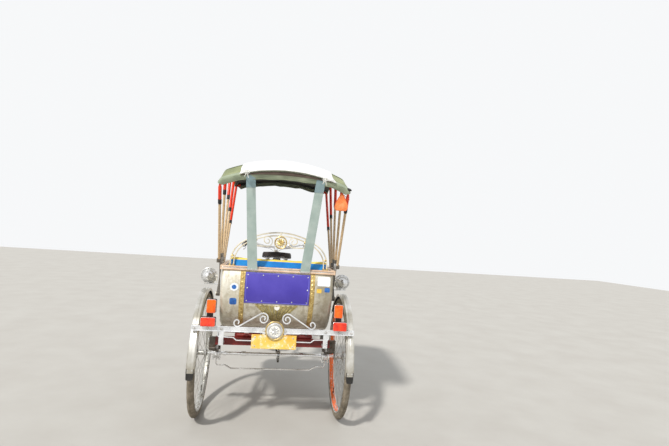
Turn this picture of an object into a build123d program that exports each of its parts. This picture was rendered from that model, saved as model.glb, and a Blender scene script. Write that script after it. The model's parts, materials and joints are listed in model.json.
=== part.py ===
"""Cycle rickshaw: three wheels, folding hood, passenger tub behind the rider.

Millimetres, +X right, +Y forward, +Z up, ground at Z = 0.
"""

import math
import os

from build123d import *

# Wheels
wheel_radius = 357.0
tyre_radius = 19.0
half_track = 414.0
wheelbase = 1620.0
running_gap = 0.05
clearance = 6.0

# Lengthways places. Everything is measured forward of the rear axle.
hood_reach = 582.2
front_reach = wheel_radius
rear_y = (hood_reach - wheelbase - front_reach) / 2
front_y = rear_y + wheelbase

# Tub
wall = 12.0
edge_round = 20.0
tub_half_width = 296.0
tub_back = 350.0
tub_bulge = 364.0
tub_bottom = wheel_radius + 205.0
tub_turn = 215.0
seat_front = 225.0
floor_start = 300.0
floor_bottom = wheel_radius + 63.0
floor_end = 700.0
floor_lip = 740.0
side_top = wheel_radius + 528.0
bulge_z = wheel_radius + 388.0
arm_front = 60.0
knee_y = 245.0
knee_z = wheel_radius + 333.0
board_y = 360.0
board_top = wheel_radius + 153.0
rim_height = 22.0
rim_width = 22.0
rim_out = 8.0

# Chassis
rail_radius = 13.0
rail_half = 200.0
rail_high = wheel_radius + 168.0
rail_low = floor_bottom - rail_radius
beam_y = 255.0
beam_height = 34.0
beam_depth = 30.0
spring_x = 325.0
spring_width = 30.0
axle_radius = 9.5
axle_end = half_track + 60.0
housing_radius = 28.0
housing_inner = spring_x - 17.0
housing_outer = spring_x + 21.0
rail_front = 735.0

# Bicycle half
bracket_y = 970.0
bracket_z = wheel_radius - 57.0
chain_x = 40.0
chainring_radius = 88.0
sprocket_radius = 42.0
crank_length = 165.0
head_angle = 68.0
rake = 65.0
tube_radius = 15.0
steer_radius = 13.0
saddle_y = 742.0
saddle_z = wheel_radius + 548.0

# Mudguards and lamps
guard_radius = wheel_radius + 28.0
guard_width = 42.0
guard_depth = 18.0
guard_wall = 2.0
lamp_x = half_track - 9.0
lamp_z = wheel_radius + 455.0
lamp_radius = 43.0

# Rear trim
bumper_y = 350.0
bumper_z = wheel_radius + 218.0
bumper_half = half_track + 15.0
bumper_height = 26.0
bumper_thick = 6.0
post_x = 345.0
indicator_x = 333.0

# Hood
pivot_y = -220.0
pivot_z = wheel_radius + 383.0
pin_radius = 6.0
iron_thick = 3.0
iron_pitch = 3.6
iron_first = tub_half_width + rim_out + 8.0
iron_length = 205.0
leg_x = tub_half_width + rim_out + 12.0
leg_radius = 7.0
corner_radius = 25.0
shoulder_drop = 95.0
cloth_drop = 88.0
fabric_thick = 3.0
fold_spacing = 5.5
# crown_y and crown_z place the top of each bow, from the rear one forward.
BOWS = [
    {"name": "hood_bow_1", "crown_y": -575.0, "crown_z": pivot_z + 645.0},
    {"name": "hood_bow_2", "crown_y": -330.0, "crown_z": pivot_z + 728.0},
    {"name": "hood_bow_3", "crown_y": -30.0, "crown_z": pivot_z + 772.0},
    {"name": "hood_bow_4", "crown_y": 250.0, "crown_z": pivot_z + 778.0},
    {"name": "hood_bow_5", "crown_y": 470.0, "crown_z": pivot_z + 720.0},
]


def at(x, y, z):
    """Point given by its distance forward of the rear axle."""
    return Vector(x, rear_y + y, z)


def bent_wire(points, bend):
    """Wire through the points, each corner rounded by an arc."""
    points = [Vector(*p) if isinstance(p, tuple) else p for p in points]
    edges = []
    last = points[0]
    for before, corner, after in zip(points, points[1:], points[2:]):
        towards = (before - corner).normalized()
        away = (after - corner).normalized()
        half = math.radians(towards.get_angle(away)) / 2
        reach = bend / math.tan(half)
        start = corner + towards * reach
        end = corner + away * reach
        middle_way = (towards + away).normalized()
        centre = corner + middle_way * (bend / math.sin(half))
        middle = centre - middle_way * bend
        if (start - last).length > 1e-3:
            edges.append(Edge.make_line(last, start))
        edges.append(Edge.make_three_point_arc(start, middle, end))
        last = end
    if (points[-1] - last).length > 1e-3:
        edges.append(Edge.make_line(last, points[-1]))
    return Wire(edges)


def round_bar(path, radius, sides=8):
    """Bar along a smooth wire, its round section given as a polygon."""
    plane = Plane(origin=path @ 0, z_dir=path % 0)
    corners = []
    for k in range(sides):
        turn = math.radians(360 / sides * (k + 0.5))
        corners.append(plane.from_local_coords((radius * math.cos(turn), radius * math.sin(turn), 0)))
    return Solid.sweep(Face(Wire.make_polygon(corners)), path)


def rod(start, end, radius):
    """Straight round bar."""
    start = Vector(*start) if isinstance(start, tuple) else start
    end = Vector(*end) if isinstance(end, tuple) else end
    return Solid.make_cylinder(radius, (end - start).length, Plane(origin=start, z_dir=end - start))


def bent_rod(points, radius, bend):
    """Round bar through the points with rounded bends."""
    return round_bar(bent_wire(points, bend), radius)


def block(x0, x1, y0, y1, z0, z1):
    """Box between two corners, Y given forward of the rear axle."""
    return Solid.make_box(x1 - x0, y1 - y0, z1 - z0, Plane(at(x0, y0, z0)))


def disc(x0, x1, y, z, radius):
    """Cylinder along X."""
    return Solid.make_cylinder(radius, x1 - x0, Plane(origin=at(x0, y, z), z_dir=(1, 0, 0)))


def mirrored(solid):
    """The same solid on the other side."""
    return solid.mirror(Plane.YZ)


def both_sides(solids):
    """The solids and their mirror images."""
    return solids + [mirrored(s) for s in solids]


def curl(point, heading, turn, radii):
    """Edges of half circles that wind up, in plan coordinates (across, up)."""
    arcs = []
    px, pz = point
    hx, hz = heading
    for radius in radii:
        nx, nz = (-hz * turn, hx * turn)
        middle = (px + nx * radius + hx * radius, pz + nz * radius + hz * radius)
        end = (px + 2 * nx * radius, pz + 2 * nz * radius)
        arcs.append(((px, pz), middle, end))
        px, pz = end
        hx, hz = (-hx, -hz)
    return arcs


def scroll(start, end, turn, start_radii, end_radii, y, radius):
    """S scroll in an upright plane: a straight bar that winds up at both ends."""
    length = math.hypot(end[0] - start[0], end[1] - start[1])
    heading = ((end[0] - start[0]) / length, (end[1] - start[1]) / length)
    back = (-heading[0], -heading[1])
    edges = []
    for a, m, b in reversed(curl(start, back, turn, start_radii)):
        edges.append(Edge.make_three_point_arc(at(b[0], y, b[1]), at(m[0], y, m[1]), at(a[0], y, a[1])))
    edges.append(Edge.make_line(at(start[0], y, start[1]), at(end[0], y, end[1])))
    for a, m, b in curl(end, heading, turn, end_radii):
        edges.append(Edge.make_three_point_arc(at(a[0], y, a[1]), at(m[0], y, m[1]), at(b[0], y, b[1])))
    return round_bar(Wire(edges), radius * 1.3, 4)


def arch_wire(plane, half_width, foot, spring, corner, top):
    """Three-centred arch in a plane: legs from foot to spring, then up to top."""
    rise = top - spring
    inner = half_width - corner
    big = (inner ** 2 + rise ** 2 - corner ** 2) / (2 * (rise - corner))
    centre = top - big
    reach = math.hypot(inner, spring - centre)
    ux = inner / reach
    uv = (spring - centre) / reach
    join = (ux * big, centre + uv * big)
    slant = math.hypot(1 + ux, uv)
    corner_mid = (inner + corner * (1 + ux) / slant, spring + corner * uv / slant)

    def p(u, v):
        return plane.from_local_coords((u, v, 0))

    edges = []
    if spring - foot > 1e-3:
        edges.append(Edge.make_line(p(-half_width, foot), p(-half_width, spring)))
    edges.append(
        Edge.make_three_point_arc(
            p(-half_width, spring), p(-corner_mid[0], corner_mid[1]), p(-join[0], join[1])
        )
    )
    edges.append(Edge.make_three_point_arc(p(-join[0], join[1]), p(0, top), p(join[0], join[1])))
    edges.append(
        Edge.make_three_point_arc(
            p(join[0], join[1]), p(corner_mid[0], corner_mid[1]), p(half_width, spring)
        )
    )
    if spring - foot > 1e-3:
        edges.append(Edge.make_line(p(half_width, spring), p(half_width, foot)))
    return Wire(edges)


# Wire wheel, built once about its own centre
rim_radius = wheel_radius - 35.0
rim_depth = 14.0
rim_width_half = 17.0
flange_radius = 26.0
hub_radius = 15.0
spoke_radius = 1.1
spokes_a_side = 18


def tyre_solid():
    """Tyre ring about the X axis at the origin."""
    bead = rim_radius - 1.5
    profile = Polyline(
        (-13, bead),
        (-tyre_radius, wheel_radius - 20),
        (-13, wheel_radius - 5.5),
        (0, wheel_radius),
        (13, wheel_radius - 5.5),
        (tyre_radius, wheel_radius - 20),
        (13, bead),
        close=True,
        mode=Mode.PRIVATE,
    )
    return Solid.revolve(Face(Wire(profile.edges())), 360, Axis.X)


def wheel_solid(flange_half, bore, hub_half):
    """Rim, spokes and hub about the X axis at the origin."""
    inner = rim_radius - rim_depth
    profile = Polyline(
        (-rim_width_half, rim_radius),
        (-rim_width_half, rim_radius - 5),
        (-8, inner),
        (8, inner),
        (rim_width_half, rim_radius - 5),
        (rim_width_half, rim_radius),
        (13, rim_radius - 1.5),
        (-13, rim_radius - 1.5),
        close=True,
        mode=Mode.PRIVATE,
    )
    rim = Solid.revolve(Face(Wire(profile.edges())), 360, Axis.X)
    hub = Solid.make_cylinder(
        hub_radius, 2 * hub_half, Plane(origin=(-hub_half, 0, 0), z_dir=(1, 0, 0))
    )
    parts = [rim, hub]
    for side in (-1, 1):
        x = side * flange_half
        parts.append(
            Solid.make_cylinder(flange_radius, 4, Plane(origin=(x - 2, 0, 0), z_dir=(1, 0, 0)))
        )
        for i in range(spokes_a_side):
            lean = 28 if i % 2 else -28
            base = 360.0 / spokes_a_side * i + (10 if side > 0 else 0)
            a0 = math.radians(base + lean)
            a1 = math.radians(base)
            near = flange_radius - 3
            start = Vector(x, near * math.cos(a0), near * math.sin(a0))
            far = inner + 4
            end = Vector(side * 3, far * math.cos(a1), far * math.sin(a1))
            section = Face(
                Wire.make_polygon(
                    [
                        Plane(origin=start, z_dir=end - start).from_local_coords(
                            (
                                spoke_radius * math.cos(math.radians(60 * k)),
                                spoke_radius * math.sin(math.radians(60 * k)),
                                0,
                            )
                        )
                        for k in range(6)
                    ]
                )
            )
            parts.append(Solid.extrude(section, end - start))
    whole = parts[0].fuse(*parts[1:])
    if bore > 0:
        hole = Solid.make_cylinder(
            bore, 2 * hub_half + 2, Plane(origin=(-hub_half - 1, 0, 0), z_dir=(1, 0, 0))
        )
        whole = whole - hole
    return whole.solids()[0]


made = {}
made["tyre"] = tyre_solid()
made["rear"] = wheel_solid(24.0, axle_radius + running_gap, 36.0)
made["front"] = wheel_solid(26.0, 5.0 + running_gap, 40.0)

with BuildPart() as left_tyre:
    add(made["tyre"].moved(Location(at(-half_track, 0, wheel_radius))))

with BuildPart() as right_tyre:
    add(made["tyre"].moved(Location(at(half_track, 0, wheel_radius))))

with BuildPart() as front_tyre:
    add(made["tyre"].moved(Location(at(0, wheelbase, wheel_radius))))

with BuildPart() as left_wheel:
    add(made["rear"].moved(Location(at(-half_track, 0, wheel_radius))))

with BuildPart() as front_wheel:
    add(made["front"].moved(Location(at(0, wheelbase, wheel_radius))))

with BuildPart() as right_wheel:
    add(made["rear"].moved(Location(at(half_track, 0, wheel_radius))))

# Live axle with its sprocket; it drives the right wheel and the left one runs on it
with BuildPart() as rear_axle:
    add(disc(-axle_end, axle_end, 0, wheel_radius, axle_radius))
    add(disc(half_track + 36.2, half_track + 50, 0, wheel_radius, 14))
    add(disc(-half_track - 50, -half_track - 36.5, 0, wheel_radius, 14))
    add(disc(chain_x - 2, chain_x + 2, 0, wheel_radius, sprocket_radius))
    add(disc(chain_x - 12, chain_x + 12, 0, wheel_radius, 20))

# Tub
tub_plane = Plane.YZ
pin_end = iron_first + 4 * iron_pitch + iron_thick / 2 + 0.6
with BuildPart() as body_shell:
    with BuildSketch(tub_plane) as outer:
        with BuildLine():
            ThreePointArc(
                (rear_y - tub_back, side_top),
                (rear_y - tub_bulge + 2, bulge_z),
                (rear_y - tub_turn, tub_bottom),
            )
            Polyline(
                (rear_y - tub_turn, tub_bottom),
                (rear_y + seat_front, tub_bottom),
                (rear_y + floor_start, floor_bottom),
                (rear_y + floor_end, floor_bottom),
                (rear_y + floor_lip, board_top),
                (rear_y + board_y, board_top),
                (rear_y + knee_y, knee_z),
                (rear_y + arm_front, side_top),
                (rear_y - tub_back, side_top),
            )
        make_face()
    extrude(amount=tub_half_width, both=True)
    with BuildSketch(tub_plane) as hollow:
        with BuildLine():
            ThreePointArc(
                (rear_y - tub_back + wall, side_top),
                (rear_y - tub_bulge + 2 + wall, bulge_z),
                (rear_y - tub_turn + 2, tub_bottom + wall),
            )
            Polyline(
                (rear_y - tub_turn + 2, tub_bottom + wall),
                (rear_y + seat_front + 6, tub_bottom + wall),
                (rear_y + floor_start + 6, floor_bottom + wall),
                (rear_y + floor_end - 8, floor_bottom + wall),
                (rear_y + floor_lip - 10, board_top),
                (rear_y + floor_lip + 20, board_top + 40),
                (rear_y + floor_lip + 20, side_top + 40),
                (rear_y - tub_back + wall, side_top + 40),
                (rear_y - tub_back + wall, side_top),
            )
        make_face()
    extrude(amount=tub_half_width - wall, both=True, mode=Mode.SUBTRACT)
    round_edges = [
        e
        for e in body_shell.edges().filter_by(GeomType.CIRCLE)
        if abs(abs(e.center().X) - tub_half_width) < 0.1
    ]
    fillet(round_edges, edge_round)
    # Pivot pins of the hood
    for pin in both_sides(
        [
            disc(tub_half_width - 4, pin_end + 2, pivot_y, pivot_z, pin_radius),
            disc(pin_end, pin_end + 3, pivot_y, pivot_z, 12),
        ]
    ):
        add(pin)

# Rail along the top of the tub
with BuildPart() as body_rim:
    for arm in both_sides(
        [
            block(
                tub_half_width + rim_out - rim_width,
                tub_half_width + rim_out,
                -tub_back - rim_out,
                arm_front,
                side_top,
                side_top + rim_height,
            )
        ]
    ):
        add(arm)
    add(
        block(
            -tub_half_width,
            tub_half_width,
            -tub_back - rim_out,
            -tub_back - rim_out + rim_width,
            side_top,
            side_top + rim_height,
        )
    )
    with BuildSketch(Plane.YZ.offset(tub_half_width + rim_out - rim_width)) as arm_side:
        with BuildLine():
            Polyline(
                (rear_y + arm_front, side_top),
                (rear_y + knee_y, knee_z),
                (rear_y + knee_y + 17, knee_z + 16),
                (rear_y + arm_front + 9, side_top + rim_height),
                (rear_y + arm_front, side_top + rim_height),
                (rear_y + arm_front, side_top),
            )
        make_face()
    extrude(amount=rim_width)
    mirror(about=Plane.YZ)

# Seat
seat_top = wheel_radius + 315.0
cushion_thick = 80.0
seat_half = tub_half_width - wall - 11.0
with BuildPart() as seat_box:
    add(
        block(
            -tub_half_width + wall,
            tub_half_width - wall,
            -318,
            seat_front + wall,
            seat_top - wall,
            seat_top,
        )
    )
    add(
        block(
            -tub_half_width + wall,
            tub_half_width - wall,
            seat_front + 6,
            seat_front + 6 + wall,
            tub_bottom - 11,
            seat_top,
        )
    )
    add(body_shell.part, mode=Mode.SUBTRACT)

with BuildPart() as seat_cushion:
    add(block(-seat_half, seat_half, -308, 232, seat_top, seat_top + cushion_thick))

back_half = seat_half - 19.0
back_face = rim_width - tub_back - rim_out + 0.3
with BuildPart() as back_cushion:
    add(block(-back_half, back_half, back_face, back_face + 34, seat_top + cushion_thick + 6, side_top + 66))

# Arched back rail with its medallion and scrolls
arch_y = -tub_back - rim_out + rim_width / 2
arch_plane = Plane(origin=at(0, arch_y, 0), x_dir=(1, 0, 0), z_dir=(0, -1, 0))
rim_top = side_top + rim_height
arch_half = tub_half_width - 40.0
arch_top = side_top + 209.0
with BuildPart() as backrest_arch:
    add(round_bar(arch_wire(arch_plane, arch_half, rim_top, rim_top + 20, 130, arch_top), 4))
    add(round_bar(arch_wire(arch_plane, arch_half - 18, rim_top, rim_top + 20, 118, arch_top - 16), 3.5))
    medallion = Plane(origin=at(0, arch_y - 4, arch_top - 52), z_dir=(0, 1, 0))
    add(Solid.make_cylinder(34, 8, medallion))
    for leaf in both_sides(
        [scroll((130, arch_top - 76), (70, arch_top - 76), -1, [14], [26, 18, 11], arch_y, 3)]
    ):
        add(leaf)
    for tie in both_sides(
        [
            rod(at(arch_half - 19, arch_y, side_top + 75), at(arch_half - 1, arch_y, side_top + 75), 3),
            rod(at(130, arch_y, arch_top - 76), at(130, arch_y, arch_top - 18), 3),
        ]
    ):
        add(tie)
    add(rod(at(0, arch_y, arch_top - 24), at(0, arch_y, arch_top - 1), 4))

# Blank sign plate bent over the back of the tub
plate_half = 170.0
plate_low = side_top - 169.0
plate_high = side_top - 7.0
plate_thick = 3.0
back_arc = Edge.make_three_point_arc(
    Vector(rear_y - tub_back, side_top),
    Vector(rear_y - tub_bulge + 2, bulge_z),
    Vector(rear_y - tub_turn, tub_bottom),
)
back_centre = back_arc.arc_center
back_radius = back_arc.radius


def on_back(z, extra):
    """Point outside the tub's back, in the side plane, at a height and a distance off it."""
    radius = back_radius + extra
    lift = z - back_centre.Y
    return (back_centre.X - math.sqrt(radius ** 2 - lift ** 2), z)


with BuildPart() as sign_plate:
    with BuildSketch(Plane.YZ) as plate_side:
        middle_z = (plate_low + plate_high) / 2
        with BuildLine():
            ThreePointArc(on_back(plate_high, 0), on_back(middle_z, 0), on_back(plate_low, 0))
            Line(on_back(plate_low, 0), on_back(plate_low, plate_thick))
            ThreePointArc(
                on_back(plate_low, plate_thick),
                on_back(middle_z, plate_thick),
                on_back(plate_high, plate_thick),
            )
            Line(on_back(plate_high, plate_thick), on_back(plate_high, 0))
        make_face()
    extrude(amount=plate_half, both=True)

# Rear bumper with its posts, scrolls, medallion and plate wires
bumper_top = bumper_z + bumper_height / 2
bumper_back = bumper_y + bumper_thick / 2
bumper_face = bumper_y - bumper_thick / 2
with BuildPart() as bumper:
    add(
        block(
            -bumper_half,
            bumper_half,
            -bumper_back,
            -bumper_face,
            bumper_z - bumper_height / 2,
            bumper_top,
        )
    )
    for side_part in both_sides(
        [
            block(post_x - 6, post_x + 6, -bumper_back, -bumper_face, bumper_top - 5, bumper_z + 108),
            block(half_track - 15, half_track + 15, -bumper_face - 1, -300, bumper_z - 10, bumper_z + 10),
            block(50, 62, -bumper_back, -bumper_face, bumper_z - 85, bumper_z),
            block(262, 286, -bumper_back, -beam_y - beam_depth, bumper_z - 85, bumper_z - 75),
            block(262, 286, -bumper_back, -bumper_face, bumper_z - 85, bumper_z),
            scroll((186, bumper_top + 5), (79, bumper_top + 73), 1, [18, 11], [26, 18, 11], -bumper_y, 3.5),
            bent_rod(
                [
                    at(292, -bumper_y, bumper_z - 10),
                    at(292, -bumper_y, bumper_z - 40),
                    at(212, -bumper_y, bumper_z - 43),
                    at(196, -bumper_y, bumper_z - 57),
                    at(60, -bumper_y, bumper_z - 57),
                ],
                3,
                8,
            ),
        ]
    ):
        add(side_part)
    # Room for the mudguards
    for guard_room in both_sides(
        [disc(half_track - 40, half_track + 40, 0, wheel_radius, guard_radius + 0.1)]
    ):
        add(guard_room, mode=Mode.SUBTRACT)
    boss = Plane(origin=at(0, -bumper_back - 8, bumper_z + 2), z_dir=(0, 1, 0))
    add(Solid.make_cylinder(50, 6, boss))
    hub_disc = Plane(origin=at(0, -bumper_back - 12, bumper_z + 2), z_dir=(0, 1, 0))
    add(Solid.make_cylinder(37, 6, hub_disc))
    add(block(-16, 16, -bumper_back - 4, -bumper_face, bumper_z - 11, bumper_z + 11))

with BuildPart() as number_plate:
    add(block(-118, 118, -bumper_back - 2, -bumper_back, bumper_z - 96, bumper_z - 22))

# Chassis under the tub
rail_end_z = bracket_z + 45.0
with BuildPart() as chassis_frame:
    rails = [
        bent_rod(
            [
                at(rail_half, -beam_y, rail_high),
                at(rail_half, 192, rail_high),
                at(rail_half, 282, rail_low),
                at(rail_half, rail_front - 70, rail_low),
                at(rail_half, rail_front, rail_end_z),
            ],
            rail_radius,
            30,
        ),
        rod(at(rail_half, rail_front, rail_end_z), at(-rail_half, rail_front, rail_end_z), 12),
        Solid.make_sphere(rail_radius, Plane(at(rail_half, rail_front, rail_end_z)), angle1=-90, angle2=90),
        Solid.make_sphere(rail_radius, Plane(at(rail_half, -beam_y, rail_high)), angle1=-90, angle2=90),
        rod(at(rail_half, 270, rail_low + 23), at(spring_x - 16, 270, rail_low + 23), 9),
        block(rail_half - 10, rail_half + 10, 262, 278, rail_low + 15, rail_low + 43),
    ]
    for bar in both_sides(rails[:1] + rails[2:5]) + [rails[1]]:
        add(bar)
    for y in (-150, 120):
        add(block(-230, 230, y - 10, y + 10, rail_high, tub_bottom))
    add(rod(at(-rail_half, -beam_y, rail_high), at(rail_half, -beam_y, rail_high), 11))
    add(rod(at(0, rail_front, rail_end_z), at(0, bracket_y - 15, bracket_z + 3), 14))
    for stay in both_sides([rod(at(190, rail_front, rail_end_z + 3), at(17, 802, bracket_z + 440), 9)]):
        add(stay)
    add(disc(-36, 36, bracket_y, bracket_z, 23), mode=Mode.SUBTRACT)
    seat_dir = Vector(0, -205, 540).normalized()
    bracket = at(0, bracket_y, bracket_z)
    add(rod(bracket, bracket + seat_dir * 560, tube_radius), mode=Mode.SUBTRACT)

with BuildPart() as rear_cross_beam:
    add(
        block(
            -housing_inner - 1,
            housing_inner + 1,
            -beam_y - beam_depth,
            -beam_y,
            rail_high - rail_radius - 1 - beam_height,
            rail_high - 8,
        )
    )
    add(chassis_frame.part, mode=Mode.SUBTRACT)

# Leaf springs with their hangers
eye_y = 270.0
eye_z = wheel_radius + 83.0
seat_z = wheel_radius + housing_radius + 4
with BuildPart() as leaf_springs:
    leaves = []
    for drop, reach, rise in ((0, eye_y, eye_z - seat_z), (6, 190, 24), (12, 110, 7)):
        base = seat_z + 12 - drop
        with BuildSketch(Plane.YZ.offset(spring_x - spring_width / 2), mode=Mode.PRIVATE) as leaf:
            with BuildLine():
                ThreePointArc(
                    (rear_y - reach, base + rise), (rear_y, base), (rear_y + reach, base + rise)
                )
                Line((rear_y + reach, base + rise), (rear_y + reach, base + rise + 6))
                ThreePointArc(
                    (rear_y + reach, base + rise + 6),
                    (rear_y, base + 6),
                    (rear_y - reach, base + rise + 6),
                )
                Line((rear_y - reach, base + rise + 6), (rear_y - reach, base + rise))
            make_face()
        leaves.append(Solid.extrude(leaf.sketch.faces()[0], Vector(spring_width, 0, 0)))
    leaves.append(block(spring_x - 18, spring_x + 18, -24, 24, seat_z - 4, seat_z + 24))
    for y in (-eye_y, eye_y):
        x0 = spring_x - spring_width / 2
        leaves.append(disc(x0, x0 + spring_width, y, eye_z + 14, 11))
    leaves.append(block(spring_x - 16, spring_x + 16, -eye_y - 9, -eye_y + 9, eye_z + 14, rail_high - 10))
    for leaf_piece in both_sides(leaves):
        add(leaf_piece)

# Axle bearings and the cranked truss rod below them
with BuildPart() as axle_bearings:
    add(
        bent_rod(
            [
                at(-spring_x, 0, wheel_radius - 22),
                at(-spring_x, 0, wheel_radius - 69),
                at(-272, 0, wheel_radius - 69),
                at(-236, 0, wheel_radius - 89),
                at(236, 0, wheel_radius - 89),
                at(272, 0, wheel_radius - 69),
                at(spring_x, 0, wheel_radius - 69),
                at(spring_x, 0, wheel_radius - 22),
            ],
            4,
            9,
        )
    )
    for bearing in both_sides(
        [
            disc(housing_inner, housing_outer, 0, wheel_radius, housing_radius),
            block(spring_x - 14, spring_x + 14, -20, 20, wheel_radius, seat_z - 4),
        ]
    ):
        add(bearing)
    add(
        disc(-400, 400, 0, wheel_radius, axle_radius + running_gap), mode=Mode.SUBTRACT
    )

# Mudguards
def guard_ring(x, y, radius, width, start, sweep):
    """U-section mudguard round a wheel, angles from straight ahead over the top."""
    half = width / 2
    profile = Wire.make_polygon(
        [
            (x - half, y, wheel_radius + radius - guard_depth),
            (x - half, y, wheel_radius + radius - 6),
            (x - half + 6, y, wheel_radius + radius),
            (x + half - 6, y, wheel_radius + radius),
            (x + half, y, wheel_radius + radius - 6),
            (x + half, y, wheel_radius + radius - guard_depth),
            (x + half - guard_wall, y, wheel_radius + radius - guard_depth),
            (x + half - guard_wall, y, wheel_radius + radius - 6 - 1),
            (x + half - 7, y, wheel_radius + radius - guard_wall),
            (x - half + 7, y, wheel_radius + radius - guard_wall),
            (x - half + guard_wall, y, wheel_radius + radius - 6 - 1),
            (x - half + guard_wall, y, wheel_radius + radius - guard_depth),
        ]
    )
    axis = Axis((x, y, wheel_radius), (1, 0, 0))
    turned = Face(profile).rotate(axis, start - 90)
    return Solid.revolve(turned, sweep, axis)


with BuildPart() as mudguard_right:
    add(guard_ring(half_track, rear_y, guard_radius, guard_width, 35, 146))

with BuildPart() as mudguard_left:
    add(guard_ring(-half_track, rear_y, guard_radius, guard_width, 35, 146))

# Side lamps standing on the mudguards
with BuildPart() as side_lamps:
    lamp = []
    base = wheel_radius + guard_radius
    lamp.append(Solid.make_cone(
        lamp_radius - 16, lamp_radius, 50, Plane(origin=at(lamp_x, -30, lamp_z), z_dir=(0, 1, 0))
    ))
    lamp.append(Solid.make_cylinder(
        lamp_radius + 3, 12, Plane(origin=at(lamp_x, 20, lamp_z), z_dir=(0, 1, 0))
    ))
    lamp.append(Solid.make_sphere(
        lamp_radius - 16.5, Plane(at(lamp_x, -29, lamp_z)), angle1=-90, angle2=90
    ))
    lamp.append(block(lamp_x - 8, lamp_x + 8, -8, 8, base + 24, lamp_z - 20))
    lamp.append(block(tub_half_width, lamp_x + 22, -9, 9, base + 20, base + 27))
    for lamp_piece in both_sides(lamp):
        add(lamp_piece)
    for guard_room in both_sides(
        [disc(half_track - 30, half_track + 30, 0, wheel_radius, guard_radius + 0.1)]
    ):
        add(guard_room, mode=Mode.SUBTRACT)

# Rear lights on the bumper posts
with BuildPart() as tail_lamps:
    for tail in both_sides(
        [
            block(
                post_x - 36, post_x + 36, -bumper_back - 22, -bumper_back, bumper_z + 15, bumper_z + 58
            )
        ]
    ):
        add(tail)
    fillet(tail_lamps.edges().filter_by(Axis.Y), 6)

with BuildPart() as indicator_lamps:
    for orange in both_sides(
        [
            block(
                indicator_x - 22, indicator_x + 22, -bumper_back - 22, -bumper_back, bumper_z + 85, bumper_z + 151
            )
        ]
    ):
        add(orange)
    fillet(indicator_lamps.edges().filter_by(Axis.Y), 6)

# Bicycle half: steering axis and frame
tilt = math.radians(head_angle)
up_y = -math.cos(tilt)
up_z = math.sin(tilt)
base_y = wheelbase - rake * up_z
base_z = wheel_radius + rake * up_y


def on_head(t, x=0.0):
    """Point on the steering axis, t along it from beside the front axle."""
    return at(x, base_y + t * up_y, base_z + t * up_z)


head_low = wheel_radius + 73.0
head_high = head_low + 130.0
steer_axis = Vector(0, up_y, up_z)
with BuildPart() as bicycle_frame:
    add(Solid.make_cylinder(20, head_high - head_low, Plane(on_head(head_low), z_dir=steer_axis)))
    add(rod(bracket, bracket + seat_dir * 560, tube_radius))
    add(rod(bracket, on_head(head_low + 22), tube_radius + 1))
    add(rod(bracket + seat_dir * 525, on_head(head_high - 24), tube_radius - 1))
    add(rod(bracket + seat_dir * 540, bracket + seat_dir * 640, 12))
    add(disc(-36, 36, bracket_y, bracket_z, 23))
    add(
        Solid.make_cylinder(
            steer_radius + running_gap,
            head_high - head_low + 20,
            Plane(on_head(head_low - 10), z_dir=steer_axis),
        ),
        mode=Mode.SUBTRACT,
    )
    add(
        Solid.make_cylinder(40, 40, Plane(on_head(head_low - 40), z_dir=steer_axis)),
        mode=Mode.SUBTRACT,
    )
    add(disc(-50, 50, bracket_y, bracket_z, 9 + running_gap), mode=Mode.SUBTRACT)

post_top = bracket + seat_dir * 640
with BuildPart() as saddle:
    with BuildSketch(Plane.XY.offset(saddle_z)) as saddle_plan:
        with BuildLine():
            Polyline(
                (-22, rear_y + 870),
                (-40, rear_y + 780),
                (-105, rear_y + 700),
                (-112, rear_y + 640),
                (-70, rear_y + 612),
                (70, rear_y + 612),
                (112, rear_y + 640),
                (105, rear_y + 700),
                (40, rear_y + 780),
                (22, rear_y + 870),
                (-22, rear_y + 870),
            )
        make_face()
        fillet(saddle_plan.vertices(), 14)
    extrude(amount=48)
    fillet(saddle.faces().sort_by(Axis.Z)[-1].edges(), 14)
    add(block(-14, 14, saddle_y - 34, saddle_y + 34, post_top.Z - 6, saddle_z))
    add(Solid.make_cylinder(12.2, 120, Plane(post_top - seat_dir * 120, z_dir=seat_dir)), mode=Mode.SUBTRACT)

# Fork, with the front axle in its ends
hub_end = 50.0
with BuildPart() as fork:
    add(
        Solid.make_cylinder(
            steer_radius, head_high - head_low + 120, Plane(on_head(head_low - 30), z_dir=steer_axis)
        )
    )
    add(
        Solid.make_cylinder(
            22, 22, Plane(on_head(head_low - 1 - 22), z_dir=steer_axis)
        )
    )
    crown = Plane(on_head(head_low - 32), x_dir=(1, 0, 0), z_dir=steer_axis)
    add(Solid.make_box(124, 34, 18, Plane((-62, -17, 0))).moved(crown.location))
    for blade in both_sides(
        [
            round_bar(
                bent_wire([on_head(head_low - 28, 50), on_head(130, 52), at(52, wheelbase, wheel_radius)], 160),
                10,
            ),
            disc(47, 58, wheelbase, wheel_radius, 13),
            disc(0, 64, wheelbase, wheel_radius, 5),
            disc(58, 64, wheelbase, wheel_radius, 9),
        ]
    ):
        add(blade)

# Front mudguard with its stays
with BuildPart() as front_mudguard:
    add(guard_ring(0, front_y, guard_radius - 2, guard_width, 70, 125))
    end_angle = math.radians(190)
    reach = guard_radius - 8
    for stay in both_sides(
        [
            rod(
                at(58, wheelbase, wheel_radius + 12),
                at(
                    guard_width / 2,
                    wheelbase + reach * math.cos(end_angle),
                    wheel_radius + reach * math.sin(end_angle),
                ),
                2.5,
            )
        ]
    ):
        add(stay)
    add(fork.part, mode=Mode.SUBTRACT)
    add(front_mudguard.part.solids().sort_by(SortBy.VOLUME)[-1], mode=Mode.REPLACE)

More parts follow.
